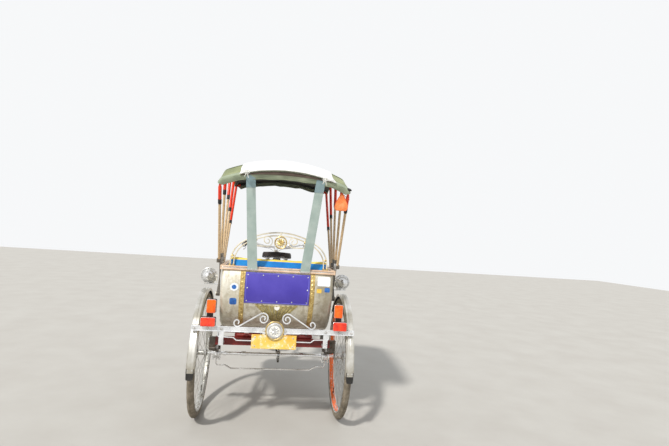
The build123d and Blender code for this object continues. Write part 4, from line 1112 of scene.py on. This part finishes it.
def rear_lights():
    """Black backs, bright bezels and ribbed faces of the red and orange lights."""
    bases, bezels = [], []
    # name, across, middle height, half width, half height, ribs, look
    for name, across, z, half_u, half_v, count, look in (
        ("tail", 0.345, bumper_mid + 0.0365, 0.036, 0.0215, 9, "lens_red"),
        ("indicator", 0.333, bumper_mid + 0.118, 0.022, 0.033, 7, "lens_orange"),
    ):
        ribs = []
        u, v = half_u - 0.005, half_v - 0.005
        run, step = (X * u, Z * v) if name == "tail" else (Z * v, X * u)
        for side in both:
            centre = here(side * across, bumper_face - 0.0215, z)
            bases.append(slab(centre + Y * 0.0225, -X, Z, half_u + 0.003, half_v + 0.003, 0.006, 0.006, 4))
            outline = round_box(half_u + 0.0007, half_v + 0.0007, 0.0062, 4)
            path = [centre + Y * 0.0055 + X * a + Z * b for a, b in outline]
            bezels.append(tube(path + path[:1], 0.0017, 6))
            for t in spread(count - 1):
                ribs.append(tube([centre + step * t + run * end for end in (-1, 0, 1)], 0.0017, 8))
            for x in (-half_u + 0.009, half_u - 0.009):
                ribs.append(bolt(centre + X * x - Y * 0.001, -Y, 0.0028, 0.0016, 10))
        put(name + "_ribs", ribs, look, 40)
    for side in both:
        foot = here(side * 0.339, bumper_face - 0.001, bumper_mid + 0.0715)
        bases.append(slab(foot, -X, Z, 0.016, 0.0125, 0.011, 0.002, 2))
    put("light_bases", bases, "black", 35)
    put("light_bezels", bezels, "trim", 60)


def lamp_trim():
    """Rolled rings, glass, hanging bracket and clamp of the two side lamps."""
    across, high, strap_high = half_track - 0.009, wheel_radius + 0.455, guard_outer + wheel_radius + 0.0265
    rings, glass, arms, facets = [], [], [], []
    for side in both:
        middle = here(side * across, 0.0, high)
        # forward, radius, thickness, steps around, sides
        for y, major, minor, around, sides in (
            (0.031, 0.0445, 0.0028, 48, 8),
            (0.0205, 0.0462, 0.0022, 48, 8),
            (-0.008, 0.036, 0.0016, 40, 6),
        ):
            rings.append(ring(middle + Y * y, Y, major, minor, around, sides))
        finial = "-3,9 0,9 3,6 6,3.2 9,3 9.5,0"
        rings.append(lathe(middle - Y * 0.054, -Y, finial, 16))
        for k in range(16):
            out = toward(X, Z, 22.5 * (k + 0.5))
            path = [middle + out * far + Y * y for far, y in mm("28.5,-29 35.8,-6 43.2,18")]
            facets.append(tube(path, 0.0013, 5))
        bowl = "-2,42.5 0,42.5 3,36 6,22 7.5,0"
        glass.append(lathe(middle + Y * 0.031, Y, bowl))
        for k in range(7):
            z = -0.03 + 0.01 * k
            half = math.sqrt(0.0395**2 - z**2)
            row = []
            for x in (half * u for u in spread(8)):
                bulge = 0.0078 * (1 - (x**2 + z**2) / 0.0425**2)
                row.append(middle + vec(x, 0.0312 + bulge, z))
            glass.append(tube(row, 0.0012, 6))
        foot = here(side * (across - 0.03), 0.0, strap_high)
        bend = here(side * (across - 0.046), 0.0, high - 0.03)
        top = here(side * (across - 0.049), 0.002, high)
        arms.append(tube([foot, foot + vec(side * -0.006, 0, 0.03), bend, top], 0.004))
        profile = "0,6 3,6 5,8 12,8"
        arms.append(lathe(here(side * (across - 0.052), 0.002, high), X * side, profile, 12))
        for y in (-0.0036, 0.0036):
            arms.append(bolt(here(side * (across + 0.014), y, strap_high), Z, 0.0036))
    put("lamp_rings", rings, "trim", 40)
    put("lamp_facets", facets, "trim", 50)
    put("lamp_glass", glass, "glass", 50)
    put("lamp_arms", arms, "enamel", 40)


def guard_edges(centre, outer, half, start, sweep):
    """Rolled edges and centre bead of a mudguard."""
    low, crest = outer - 0.018, outer - 0.0008
    ways = [toward(Y, Z, start + sweep * t) for t in shares(48)]
    chunks = []
    for across, radius, thick in ((-half, low, 0.0021), (half, low, 0.0021), (0.0, crest, 0.0024)):
        chunks.append(tube([centre + X * across + way * radius for way in ways], thick, 6))
    return chunks


def guard_shade_liner(centre, outer, start, sweep):
    """Black sheet inside a mudguard: painted shade of its underside."""
    section = mm("-18.6,17 -18.6,7.5 -13.5,3")
    section += [(-x, depth) for x, depth in reversed(section)]
    ways = [toward(Y, Z, start + sweep * t) for t in shares(40)]
    return grid([[centre + X * x + way * (outer - depth) for x, depth in section] for way in ways])


def guard_trim():
    """Rolled edges, centre bead, black sheet of painted shade inside and rubber flap of each rear mudguard.
    """
    edges, shade_liner, flaps, stays = [], [], [], []
    for side in both:
        wheel = rear_axle + X * side * half_track
        edges += guard_edges(wheel, guard_outer, guard_half - 0.0006, 36, 144)
        shade_liner.append(guard_shade_liner(wheel, guard_outer, 35.5, 145))
        hang = wheel + toward(Y, Z, 179.5) * (guard_outer - 0.004)
        rows = []
        for t in shares(10):
            wide = 0.0195 - 0.003 * t**4
            row = []
            for u in (-1, -0.6, -0.2, 0.2, 0.6, 1):
                sag = 0.0016 * (1 - u * u) - 0.0015 - 0.004 * t * t
                p = hang + vec(wide * u, sag, 0.012 - 0.058 * t + 0.003 * t * u * u)
                row.append((p - Y * 0.0012, p + Y * 0.0012))
            rows.append(row)
        flaps.append(skins(rows))
        stays += [bolt(hang + vec(x, -0.004, 0.004), -Y, 0.0036) for x in (-0.011, 0.011)]
        # Bolts of the stays, by their angle from straight ahead
        for angle in (60, 95, 150):
            out = toward(Y, Z, angle)
            stays += [bolt(wheel + out * (guard_outer - 0.0004) + X * x, out, 0.004) for x in (0.009, -0.009)]
    put("guard_edges", edges, "guard", 60)
    put("guard_shade_liners", shade_liner, "black", 40)
    put("guard_flaps", flaps, "flap", 40)
    put("guard_bolts", stays, "trim", 30)


def pennant():
    """Blank bell of orange cloth hung from the right pole of the rear bow."""
    middle = here(0.284, -0.538, 1.268)
    half_wide, half_high = 0.033, 0.043
    rows = []
    for v in spread(12):
        top, foot = max(0.0, (v + 0.4) / 1.4), max(0.0, (-v - 0.7) / 0.3)
        wide = half_wide * (1.0 - 0.9 * top**1.2 - 0.3 * foot**2)
        row = []
        for u in spread(8):
            sway = 0.0025 * math.sin(2.2 * u + 1.4 * v) + 0.0015 * math.sin(5 * v)
            p = middle + vec(wide * u, sway, half_high * v)
            row.append((p - Y * 0.0005, p + Y * 0.0005))
        rows.append(row)
    piece = put("pennant", [skins(rows)], "pennant", 60, "bow_1")
    rim = [row[0][0] for row in rows] + [row[-1][0] for row in reversed(rows)]
    top = rows[-1][4][0]
    pole = bow_point(0, leg_x, 0.622)
    edge = [tube(rim + rim[:1], 0.0016, 6)]
    edge.append(tube([top, top.lerp(pole, 0.5) + Z * 0.004, pole - Y * 0.0096], 0.0011, 6))
    edge.append(ring(pole, bow_up[0], 0.0098, 0.0013, 20, 6))
    put("pennant_edge", edge, "pennant_edge", 60, "bow_1")


rim_moulding()
gilt_bands()
pennant()
fan()
stickers()
sign_trim()
bumper_trim()
arch_trim()
rear_lights()
lamp_trim()
guard_trim()


# Padded seat and back, stuffed by a short cloth simulation
def apply_modifiers(piece):
    """Turns the evaluated shape into the piece's own mesh."""
    graph = bpy.context.evaluated_depsgraph_get()
    mesh = bpy.data.meshes.new_from_object(piece.evaluated_get(graph))
    piece.modifiers.clear()
    piece.data = mesh


def stuffed(name, low, high, bevel, look, voxel, flat):
    """Pad that swells under pressure, no point moving more than bevel; its low side along axis flat stays."""
    mesh = bpy.data.meshes.new(name)
    build = bmesh.new()
    bmesh.ops.create_cube(build, size=1.0)
    for vert in build.verts:
        vert.co = Vector([(a + b) / 2 + c * (b - a) for a, b, c in zip(low, high, vert.co)])
    bmesh.ops.bevel(build, geom=list(build.edges), offset=bevel, segments=4, profile=0.6, affect="EDGES")
    build.to_mesh(mesh)
    build.free()
    mesh.materials.append(mats[look])
    piece = add_object(name, mesh)
    voxels = piece.modifiers.new("voxels", "REMESH")
    voxels.mode, voxels.voxel_size = "VOXEL", voxel
    apply_modifiers(piece)
    start = [v.co.copy() for v in piece.data.vertices]
    swell = piece.modifiers.new("swell", "CLOTH").settings
    swell.use_pressure, swell.uniform_pressure_force = True, 4.0
    swell.effector_weights.gravity = 0.0
    for step in range(1, 21):
        bpy.context.scene.frame_set(step)
    apply_modifiers(piece)
    for vert, old in zip(piece.data.vertices, start):
        move = vert.co - old
        if move.length > bevel:
            vert.co = old + move * (bevel / move.length)
    bpy.context.scene.frame_set(1)
    for vert in piece.data.vertices:
        vert.co[flat] = max(vert.co[flat], low[flat])
    even = piece.modifiers.new("even", "SUBSURF")
    even.levels = even.render_levels = 1
    apply_modifiers(piece)
    for poly in piece.data.polygons:
        poly.use_smooth = True
    return piece


def middle_of(piece):
    """Middle of the box round a piece."""
    points = [v.co for v in piece.data.vertices]
    return [(min(p[i] for p in points) + max(p[i] for p in points)) / 2 for i in range(3)]


def press(piece, middle, places, axis, depth, width):
    """Sewn channels across the pad, along which its face is drawn in."""
    for vert in piece.data.vertices:
        for place in places:
            gap = abs(vert.co.x - place)
            if gap < width * 3 and vert.co[axis] > middle[axis]:
                vert.co[axis] -= depth * math.exp(-((gap / width) ** 2))


def edge_piping(name, piece, middle, axis, place, radius):
    """Cord sewn round a pad, laid on its surface by rays from outside at one place along an axis."""
    mesh = piece.data
    tree = BVHTree.FromPolygons([v.co for v in mesh.vertices], [p.vertices for p in mesh.polygons])
    middle = Vector(middle)
    middle[axis] = place
    path = []
    for t in shares(120):
        way = toward(X, Y if axis == 2 else Z, 360 * t)
        hit = tree.ray_cast(middle + way * 2, -way)[0]
        if hit is not None:
            path.append(hit - way * 0.0012)
    put(name, [tube(path, radius)], "piping", 60)


def pad(name, node, low_move, high_move, bevel, voxel, look, axis, channels, depth, width, cords):
    """Padded piece over a CAD cushion, with piping; a cord is (name, at the high end, distance, radius)."""
    low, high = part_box(node)
    corners = [[a + b for a, b in zip(*pair)] for pair in ((low, low_move), (high, high_move))]
    piece = stuffed(name, *corners, bevel, look, voxel, axis)
    middle = middle_of(piece)
    places = [low[0] + (high[0] - low[0]) * k / channels for k in range(1, channels)]
    press(piece, middle, places, axis, depth, width)
    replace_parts(piece, node)
    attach(piece, "carriage")
    for cord, top, away, radius in cords:
        edge_piping(cord, piece, middle, axis, (high if top else low)[axis] + away, radius)


pad(
    "seat_pad",
    "seat_cushion",
    low_move=(-0.008, -0.006, 0.0005),
    high_move=(0.008, 0.008, -0.014),
    bevel=0.02,
    voxel=0.0075,
    look="blue",
    axis=2,
    channels=4,
    depth=0.009,
    width=0.009,
    cords=(("seat_piping_high", True, -0.021, 0.0036), ("seat_piping_low", False, 0.012, 0.0036)),
)
pad(
    "back_pad",
    "back_cushion",
    low_move=(-0.01, 0.001, -0.004),
    high_move=(0.01, -0.004, 0.008),
    bevel=0.012,
    voxel=0.006,
    look="back_pad",
    axis=1,
    channels=6,
    depth=0.006,
    width=0.008,
    cords=(("back_piping", True, -0.012, 0.003),),
)


# Trim of the wheels, the drive and the bicycle half
head_tilt, head_rake = math.radians(68.0), 0.065
steer = vec(0, -math.cos(head_tilt), math.sin(head_tilt))
steer_ahead = vec(0, steer.z, -steer.y)
steer_base = front_axle - steer_ahead * head_rake
crank_axle = joints["crank_turn"]
chain_across, ring_radius, cog_radius = 0.040, 0.088, 0.042


def tyre_tread(name, centre, body):
    """Ribs and slanted blocks moulded in the tread, and the sidewall's two beads."""
    chunks = []
    # across, radius, thickness, steps around
    for across, radius, minor, around in (
        (0.0042, 0.3568, 0.0013, 120),
        (0.0163, 0.345, 0.0012, 100),
        (0.0125, 0.324, 0.0016, 100),
    ):
        chunks += [ring(centre + X * across * side, X, radius, minor, around, 5) for side in both]
    count = 96
    # One block's corners: across, radius, turn
    block = ((0.0064, 0.3556, 0.0), (0.0142, 0.3496, 0.011), (0.0142, 0.3496, 0.030), (0.0064, 0.3556, 0.019))
    for k in range(count):
        for side, shift in ((-1, 0.0), (1, 0.5)):
            verts = []
            for lift in (0.0, 0.0016):
                for x, radius, turn in block:
                    way = toward(Y, Z, 360 * (k + shift) / count + math.degrees(turn))
                    verts.append(centre + X * side * x + way * (radius + lift))
            chunks.append((verts, [(4, 5, 6, 7), (0, 1, 5, 4), (1, 2, 6, 5), (2, 3, 7, 6), (3, 0, 4, 7)]))
    put(name + "_tread", chunks, "tyre", 20, body)


def wheel_trim(name, centre, body, valve_turn):
    """Spoke nipples, hub flange rings, rim beads and the valve of one wheel."""
    count = 36
    profile = "0,1.3 2,2.4 11,2.6 13,3.5"
    nipples = []
    for k in range(count):
        out = toward(Y, Z, 360 * (k + 0.5) / count)
        nipples.append(lathe(centre + out * 0.297 + X * (0.0035 if k % 2 else -0.0035), out, profile, 6))
    put(name + "_nipples", nipples, "trim", 30, body)
    plated = []
    # across, radius, thickness, steps around
    for across, major, minor, around in (
        (0.0135, 0.3195, 0.0022, 90),
        (0.028, 0.0265, 0.0022, 36),
        (0.02016, 0.019, 0.0018, 28),
    ):
        plated += [ring(centre + X * across * side, X, major, minor, around, 6) for side in both]
    put(name + "_rings", plated, "trim", 50, body)
    out = toward(Y, Z, valve_turn)
    stem = "0,0 0.5,3.2 6,3.4 6.8,2.6 40,2.8 45,3"
    nut = "0,5.2 4,5.2 4.2,3"
    valve = [lathe(centre + out * 0.262, out, stem, 12), lathe(centre + out * 0.296, out, nut, 6)]
    put(name + "_valve", valve, "black", 30, body)


def axle_trim():
    """Bearing caps, grease cups and clamps on the rear axle."""
    turning, still, grips = [], [], []
    cup_profile = "0,5.5 4,5.5 5,3 9,3 9.5,0"
    for side in both:
        for back, radius in mm("8,13.5 30,12.5"):
            turning.append(bolt(rear_axle + X * side * (0.474 - back), X * side, radius, 0.0065))
        still += [ring(rear_axle + X * side * x, X, 0.0262, 0.003, 36, 6) for x in (0.309, 0.345)]
        cup = rear_axle + X * side * 0.327
        for y in (-0.0195, 0.0195):
            still += [bolt(cup + vec(x, y, -0.0245), -Z, 0.0048, 0.006) for x in (-0.014, 0.014)]
        still.append(lathe(cup + vec(0, -0.026, -0.002), -Y, cup_profile, 10))
    put("axle_nuts", turning, "axle", 30, "right_road_wheel")
    put("bearing_trim", still, "axle", 35)
    for x, wide in mm("-180,26 160,30 -285,16 285,16"):
        profile = [(0, 0.0096), (0.001, 0.0132), (wide, 0.0132), (wide + 0.001, 0.0096)]
        grips.append(lathe(rear_axle + X * x, X, profile, 20))
    put("axle_collars", grips, "axle", 35, "right_road_wheel")


def chain_route():
    """Function of distance along the chain's closed line, and its length."""
    a, b = Vector(rear_axle), Vector(crank_axle)
    a.x = b.x = chain_across
    run = (b - a).length
    base = math.degrees(math.atan2(b.z - a.z, b.y - a.y))
    spread_angle = math.acos((cog_radius - ring_radius) / run)
    straight = math.sqrt(run**2 - (ring_radius - cog_radius) ** 2)
    arc_front = ring_radius * 2 * spread_angle
    lean = math.degrees(spread_angle)
    total = 2 * straight + arc_front + cog_radius * (2 * math.pi - 2 * spread_angle)

    def rim(centre, radius, degrees):
        return centre + toward(Y, Z, degrees) * radius

    def place(s):
        s %= total
        if s < straight:
            return rim(a, cog_radius, base + lean).lerp(rim(b, ring_radius, base + lean), s / straight)
        s -= straight
        if s < arc_front:
            return rim(b, ring_radius, base + lean - math.degrees(s / ring_radius))
        s -= arc_front
        if s < straight:
            return rim(b, ring_radius, base - lean).lerp(rim(a, cog_radius, base - lean), s / straight)
        return rim(a, cog_radius, base - lean - math.degrees((s - straight) / cog_radius))

    return place, total


def chain_links():
    """Roller chain: figure-eight side plates, inner and outer by turns, on round rollers."""
    place, total = chain_route()
    pitch = 0.0127
    count = int(total / pitch) // 2 * 2
    profile = "0,1.6 3,1.6 3.1,3.6 7.5,3.6 7.6,1.6 10.6,1.6"
    plates, rollers = [], []
    for k in range(count):
        p, q = place(k * total / count), place((k + 1) * total / count)
        way = (q - p).normalized()
        up = X.cross(way)
        offset = 0.0046 if k % 2 else 0.0031
        outline = [p + toward(way, up, 90 + 45 * i) * 0.0042 for i in range(5)] + [(p + q) / 2 - up * 0.003]
        outline += [q + toward(way, up, 45 * i - 90) * 0.0042 for i in range(5)] + [(p + q) / 2 + up * 0.003]
        for side in both:
            rows = [[v + X * side * x for v in outline] for x in (offset - 0.0005, offset + 0.0005)]
            plates.append(capped(rows))
        rollers.append(lathe(p - X * 0.0053, X, profile, 8))
    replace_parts(put("chain_plates", plates, "chain", 30), "chain")
    put("chain_rollers", rollers, "chain", 40)


def toothed(centre, radius, teeth, depth):
    """Ring of sprocket teeth."""
    chunks = []
    root, high = radius - 0.004, radius + depth * 0.6
    tooth = ((root, -0.36), (root, 0.36), (high, 0.2), (radius + depth, 0.0), (high, -0.2))
    for k in range(teeth):
        verts = []
        for x in (-0.0011, 0.0011):
            verts += [centre + X * x + toward(Y, Z, 360 * (k + turn) / teeth) * r for r, turn in tooth]
        faces = [(0, 1, 2, 3, 4), (9, 8, 7, 6, 5)]
        chunks.append((verts, faces + [(i, (i + 1) % 5, 5 + (i + 1) % 5, 5 + i) for i in range(5)]))
    return chunks


def drive_trim():
    """Teeth, chainring bolts and crank caps."""
    front = crank_axle + X * chain_across
    chunks = toothed(front, ring_radius - 0.004, 44, 0.0062)
    face = front + X * 0.002
    chunks += [bolt(face + toward(Y, Z, 72 * (k + 0.5)) * 0.066, X, 0.005, 0.0035) for k in range(5)]
    chunks.append(ring(face, X, 0.0815, 0.0016, 64, 6))
    put("chainring_teeth", chunks, "trim", 30, "cranks")
    caps = []
    for side in both:
        end = crank_axle + X * side * 0.072
        caps.append(lathe(end, X * side, "-1,13 2,13 4,10.5 6,0", 20))
        caps.append(bolt(end + Y * side * 0.03, X * side, 0.005, 0.0035))
        tip = end + vec(side * 0.0005, side * 0.165, 0)
        caps.append(lathe(tip, X * side, "-1,12 1.2,12 3,8", 16))
    put("crank_caps", caps, "trim", 35, "cranks")
    cog = toothed(rear_axle + X * chain_across, cog_radius - 0.004, 20, 0.006)
    put("rear_cog_teeth", cog, "axle", 30, "right_road_wheel")


def pedal_trim(name, replaced):
    """Ribbed rubber blocks between two plates, on a sleeve."""
    middle = joints[name + "_turn"]
    blocks, plates = [], []
    for side in both:
        block = middle + Y * side * 0.0262
        rows = []
        for x, inset in mm("-41,1.5 -40.5,0 40.5,0 41,1.5"):
            turns = [2 * math.pi * i / 12 for i in range(12)]
            round_end = [((0.0125 - inset) * math.cos(a), (0.0135 - inset) * math.sin(a)) for a in turns]
            rows.append([block + vec(x, y, z) for y, z in round_end])
        blocks.append(capped(rows))
        for k in range(7):
            for up in both:
                crest = [(y, up * (0.0138 - abs(y) * 0.25)) for y in (-0.008, 0.0, 0.008)]
                path = [block + vec(-0.036 + 0.012 * k, y, z) for y, z in crest]
                blocks.append(tube(path, 0.0017, 5))
    for side in both:
        plate = middle + X * side * 0.0435
        plates.append(slab(plate, Y * side, Z, 0.0372, 0.0105, 0.0022, 0.006, 5))
        plates += [bolt(plate + vec(side * 0.002, y, 0), X * side, 0.0036) for y in (-0.026, 0.026)]
    profile = "0,8.5 6,8.5 10,7.2 78,7.2 82,9 88,9"
    plates.append(lathe(middle - X * 0.044, X, profile, 16))
    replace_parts(put(name + "_blocks", blocks, "rubber", 30, name), replaced)
    put(name + "_cage", plates, "trim", 35, name)


def on_head(t, x=0.0, fore=0.0):
    """Point on the steering axis, moved across and ahead of it."""
    return steer_base + steer * t + steer_ahead * fore + X * x


def steering_trim():
    """Headset cups, ribbed grips, brake levers and rod, bell, crown bolts and front axle nuts."""
    head_foot, head_top, stem_top = 0.430, 0.560, 0.650
    cups = [
        lathe(on_head(head_foot), steer, "-1,21.5 2,23.5 9,23.5 12,20.8", 28),
        lathe(on_head(head_top), -steer, "-1,20.5 2,23.5 9,23.5 12,20.8", 28),
    ]
    put("headset_cups", cups, "trim", 40)
    clamp = on_head(stem_top) + vec(0, 0.062, 0.034)
    parts, rubber, levers = [], [], []
    parts.append(lathe(on_head(head_top + 0.0725), steer, "-20,18 34,18 36,14.5", 6))
    parts.append(bolt(on_head(stem_top + 0.012), steer, 0.0075, 0.006))
    parts.append(bolt(clamp + vec(0, 0.015, -0.006), vec(0, 1, -0.3), 0.006, 0.006))
    knob = "-4,4 0,6.2 4,5.5 6,0"
    for side in both:
        back = clamp + vec(side * 0.2785, -0.219, 0.0095)
        front = clamp + vec(side * 0.265, -0.103, 0.0243)
        along = (front - back).normalized()
        rubber += [ring(back + along * (0.008 + 0.0084 * k), along, 0.0158, 0.0013, 20, 5) for k in range(13)]
        rubber.append(ring(back, along, 0.0145, 0.0035, 24))
        rubber.append(ring(front, along, 0.0155, 0.003, 24))
        hinge = clamp + vec(side * 0.258, -0.062, 0.0225)
        lever = [hinge, hinge + vec(side * 0.006, -0.02, -0.012), back.lerp(front, 0.75) - Z * 0.038]
        lever += [back.lerp(front, 0.35) - Z * 0.043, back + vec(0, -0.004, -0.036)]
        levers.append(tube(smooth_line(lever, 24), 0.0042))
        levers.append(ring(hinge + Z * 0.004, along, 0.0125, 0.0035, 20, 6))
        levers.append(lathe(back + vec(0, -0.005, -0.036), -Y, knob, 12))
        rod = [hinge + vec(0, 0.008, -0.008), clamp + vec(side * 0.2, 0.012, 0.0)]
        rod += [clamp + vec(side * 0.05, 0.018, -0.022), on_head(0.60, side * 0.012, 0.036)]
        levers.append(tube(smooth_line(rod, 20), 0.0026, 6))
    levers.append(tube([on_head(t, 0.0, fore) for t, fore in mm("602,36 500,36 415,34")], 0.0032))
    levers.append(tube([on_head(0.602, -0.014, 0.036), on_head(0.602, 0.014, 0.036)], 0.0042))
    put("stem_bolts", parts, "trim", 30, "steering")
    put("grip_ribs", rubber, "rubber", 50, "steering")
    put("brake_levers", levers, "trim", 50, "steering")
    at = clamp + vec(0.118, -0.002, 0.018)
    dome = "0,0 0.5,8.5 6,8.5 6.5,26.2 9,27.2 16,24.5 22,16.5 25.5,6 26,0"
    bell = [lathe(at, Z, dome, 32), ring(at - Z * 0.012, vec(1, 0.1, 0), 0.0118, 0.003, 18, 6)]
    bell.append(tube([at + vec(*p) for p in mm("12,-10,3 30,-28,4 34,-36,4")], 0.0024, 6))
    put("bell", bell, "trim", 40, "steering")
    crown = []
    for side in both:
        crown.append(bolt(on_head(0.404, side * 0.045, 0.017), steer_ahead, 0.006, 0.005))
        profile = "-2,12.5 4,12.5 12,10.8"
        crown.append(lathe(on_head(0.396, side * 0.05), -steer, profile, 16))
        end = front_axle + X * side * 0.062
        crown.append(bolt(end, X * side, 0.0085, 0.008))
        crown.append(lathe(end, X * side, "0,4.8 13,4.8 14.2,3", 12))
    put("fork_trim", crown, "trim", 30, "steering")


def front_guard_trim():
    """Rolled edges, centre bead and black sheet of painted shade inside the front mudguard."""
    outer = guard_outer - 0.002
    put("front_guard_edges", guard_edges(front_axle, outer, 0.0204, 70.5, 124), "guard", 60, "steering")
    put("front_guard_shade_liner", [guard_shade_liner(front_axle, outer, 70, 125)], "black", 40, "steering")


def saddle_shape():
    """Sprung leather saddle: dished top, turned-down skirt, rivets, rails and two coil springs."""
    base = wheel_radius + 0.548
    top = base + 0.048
    # forward of the rear axle, half width
    outline = mm("612,60 622,90 645,109 680,107 715,90 745,62 775,41 810,30 845,24 862,19 870,8")
    rows = []
    for y, half in outline:
        t = (y - 0.612) / 0.258
        high = top - 0.004 + 0.005 * math.cos(2 * math.pi * t) - 0.006 * t
        drop = 0.040 - 0.012 * abs(t - 0.5)
        row = []
        for u in spread(16):
            skirt = drop * max(0.0, (abs(u) - 0.78) / 0.22) ** 1.3 * 0.95
            height = high - 0.006 * (1 - math.cos(u * math.pi / 2)) - skirt
            row.append(here(half * math.sin(u * math.pi / 2), y, height))
        row += [here(half * 0.82 * s, y, high - drop * 0.86) for s in (1, 0.5, 0, -0.5, -1)]
        rows.append(row)
    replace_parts(put("saddle_leather", [capped(rows)], "leather", 60), "saddle")
    steel = []
    for side in both:
        coil_foot = here(side * 0.068, 0.655, base - 0.026)
        coil = [coil_foot + toward(X, Y, 360 * 4.5 * t) * 0.0135 + Z * 0.034 * t for t in shares(90)]
        steel.append(tube(coil, 0.0028, 6))
        rail = mm("16,842,6 18,800,-6 18,745,-9 30,690,-16 68,655,-27")
        steel.append(tube(smooth_line([here(side * x, y, base + z) for x, y, z in rail], 24), 0.0036))
    steel.append(tube([here(x, 0.655, base - 0.028) for x in (-0.068, -0.03, 0.03, 0.068)], 0.0036))
    steel.append(tube([here(x, 0.632, base + 0.006) for x in (-0.095, -0.03, 0.03, 0.095)], 0.0034))
    clip = "0,8 3,12 49,12 52,8"
    steel.append(lathe(here(-0.026, 0.742, base - 0.009), X, clip, 18))
    steel.append(bolt(here(0.026, 0.742, base - 0.009), X, 0.0072, 0.006))
    post = "0,14.5 30,14.5 32,12.5"
    steel.append(lathe(here(0, 0.742, base - 0.02), vec(0, -0.35, -0.94), post, 18))
    put("saddle_springs", steel, "trim", 50)
    # across, forward, below the top
    places = mm("-85,634,8.5 -45,624,6.2 0,622,6.2 45,624,6.2 85,634,8.5 -10,854,6.2 10,854,6.2")
    rivets = [bolt(here(x, y, top - low), Z, 0.0048, 0.0022, 12) for x, y, low in places]
    put("saddle_rivets", rivets, "gilt", 40)


def spring_trim():
    """Clips, U-bolts and eye bolts of the leaf springs."""
    low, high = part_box("leaf_springs")
    steel = []
    half = 0.0175
    for side in both:
        x = side * 0.325
        for y in (-0.16, 0.16):
            for dx in (-0.0165, 0.0165):
                steel.append(tube([here(x + dx, y, low[2] + z) for z in (0.04, 0.075)], 0.003, 6))
        for y in (low[1] + 0.014, high[1] - 0.014):
            steel += [bolt(vec(x + w * 0.017, y, high[2] - 0.014), X * w, 0.008, 0.006) for w in (1, -1)]
        for y in (-0.018, 0.018):
            loop = ((-half, -0.034), (-half, 0.03), (half, 0.03), (half, -0.034))
            steel.append(tube([here(x + dx, y, wheel_radius + z) for dx, z in loop], 0.0036, 6))
            steel += [bolt(here(x + dx, y, wheel_radius - 0.03), -Z, 0.0062, 0.006) for dx in (-half, half)]
    put("spring_bolts", steel, "axle", 35)


# name, centre, body, angle of the valve
for name, centre, body, valve_turn in (
    ("left", rear_axle - X * half_track, "left_road_wheel", -63),
    ("right", rear_axle + X * half_track, "right_road_wheel", -63),
    ("front", front_axle, "front_road_wheel", -50),
):
    tyre_tread(name, centre, body)
    wheel_trim(name, centre, body, valve_turn)
axle_trim()
chain_links()
drive_trim()
pedal_trim("right_pedal", "pedal_right")
pedal_trim("left_pedal", "pedal_left")
steering_trim()
front_guard_trim()
saddle_shape()
spring_trim()


# Stage, light and camera
def floor():
    """Pale floor that keeps the shadow."""
    mesh = bpy.data.meshes.new("floor")
    half, low = 14.0, -0.0005
    corners = [(x * half, y * half, low) for x, y in ((-1, -1), (1, -1), (1, 1), (-1, 1))]
    mesh.from_pydata(corners, [], [(0, 1, 2, 3)])
    p = Paint("floor_pale", 0.0, (0.8, 0.95))
    colour = p.ramp(p.noise(3.0, 5.0), (0.3, (0.46, 0.44, 0.41, 1)), (0.7, (0.5, 0.485, 0.455, 1)))
    mesh.materials.append(p.done(colour, p.noise(5.0)))
    add_object("floor", mesh)


def sky():
    """Plain sky light, with a paler background where the camera, glass and polish see it."""
    world = bpy.data.worlds.new("studio")
    bpy.context.scene.world = world
    world.use_nodes = True
    tree = world.node_tree
    tree.nodes.clear()

    def add(kind, *inputs):
        made = tree.nodes.new("ShaderNode" + kind)
        for source, socket in zip(inputs, made.inputs):
            tree.links.new(source, socket)
        return made

    def either(a, b):
        made = add("Math", a, b)
        made.operation = "MAXIMUM"
        return made.outputs[0]

    rays = add("LightPath").outputs
    seen = either(either(rays["Is Camera Ray"], rays["Is Transmission Ray"]), rays["Is Glossy Ray"])
    height = add("SeparateXYZ", add("TexCoord").outputs["Generated"]).outputs[2]
    ramp = add("ValToRGB", height)
    stops = ramp.color_ramp.elements
    stops[0].position, stops[0].color = 0.0, (0.5, 0.48, 0.45, 1)
    stops[1].position, stops[1].color = 0.55, (0.95, 0.98, 1.0, 1)
    stops.new(0.06).color = (0.82, 0.83, 0.84, 1)
    light = add("Background", ramp.outputs[0])
    light.inputs["Strength"].default_value = 0.76
    plain = add("Background")
    plain.inputs[0].default_value = (0.93, 0.94, 0.95, 1)
    mixed = add("MixShader", seen, light.outputs[0], plain.outputs[0])
    add("OutputWorld", mixed.outputs[0])


def sun():
    """Soft sun high over the camera's left shoulder: shadows fall to the right and ahead."""
    light = bpy.data.lights.new("sun", "SUN")
    light.energy, light.angle, light.color = 3.1, math.radians(4.0), (1.0, 0.97, 0.92)
    add_object("sun", light).rotation_euler = vec(-0.58, -0.9, 1.0).to_track_quat("Z", "Y").to_euler()


def camera():
    """The photograph's view: a phone camera behind, a metre up, turned a little left and rolled."""
    image_width, focal_pixels = 669, 444.6
    place = here(-0.055, -2.741, 1.085)
    yaw, pitch, roll = -0.140, 0.034, 0.066
    ahead = vec(-math.sin(yaw) * math.cos(pitch), math.cos(yaw) * math.cos(pitch), math.sin(pitch))
    level = vec(math.cos(yaw), math.sin(yaw), 0.0)
    top = level.cross(ahead)
    right = level * math.cos(roll) + top * math.sin(roll)
    up = -level * math.sin(roll) + top * math.cos(roll)
    data = bpy.data.cameras.new("camera")
    data.sensor_fit, data.sensor_width = "HORIZONTAL", 36.0
    data.lens = focal_pixels * data.sensor_width / image_width
    made = add_object("camera", data)
    made.matrix_world = Matrix.Translation(place) @ Matrix((right, up, -ahead)).transposed().to_4x4()
    bpy.context.scene.camera = made


floor()
sky()
sun()
camera()
bpy.context.scene.view_settings.view_transform = "Standard"
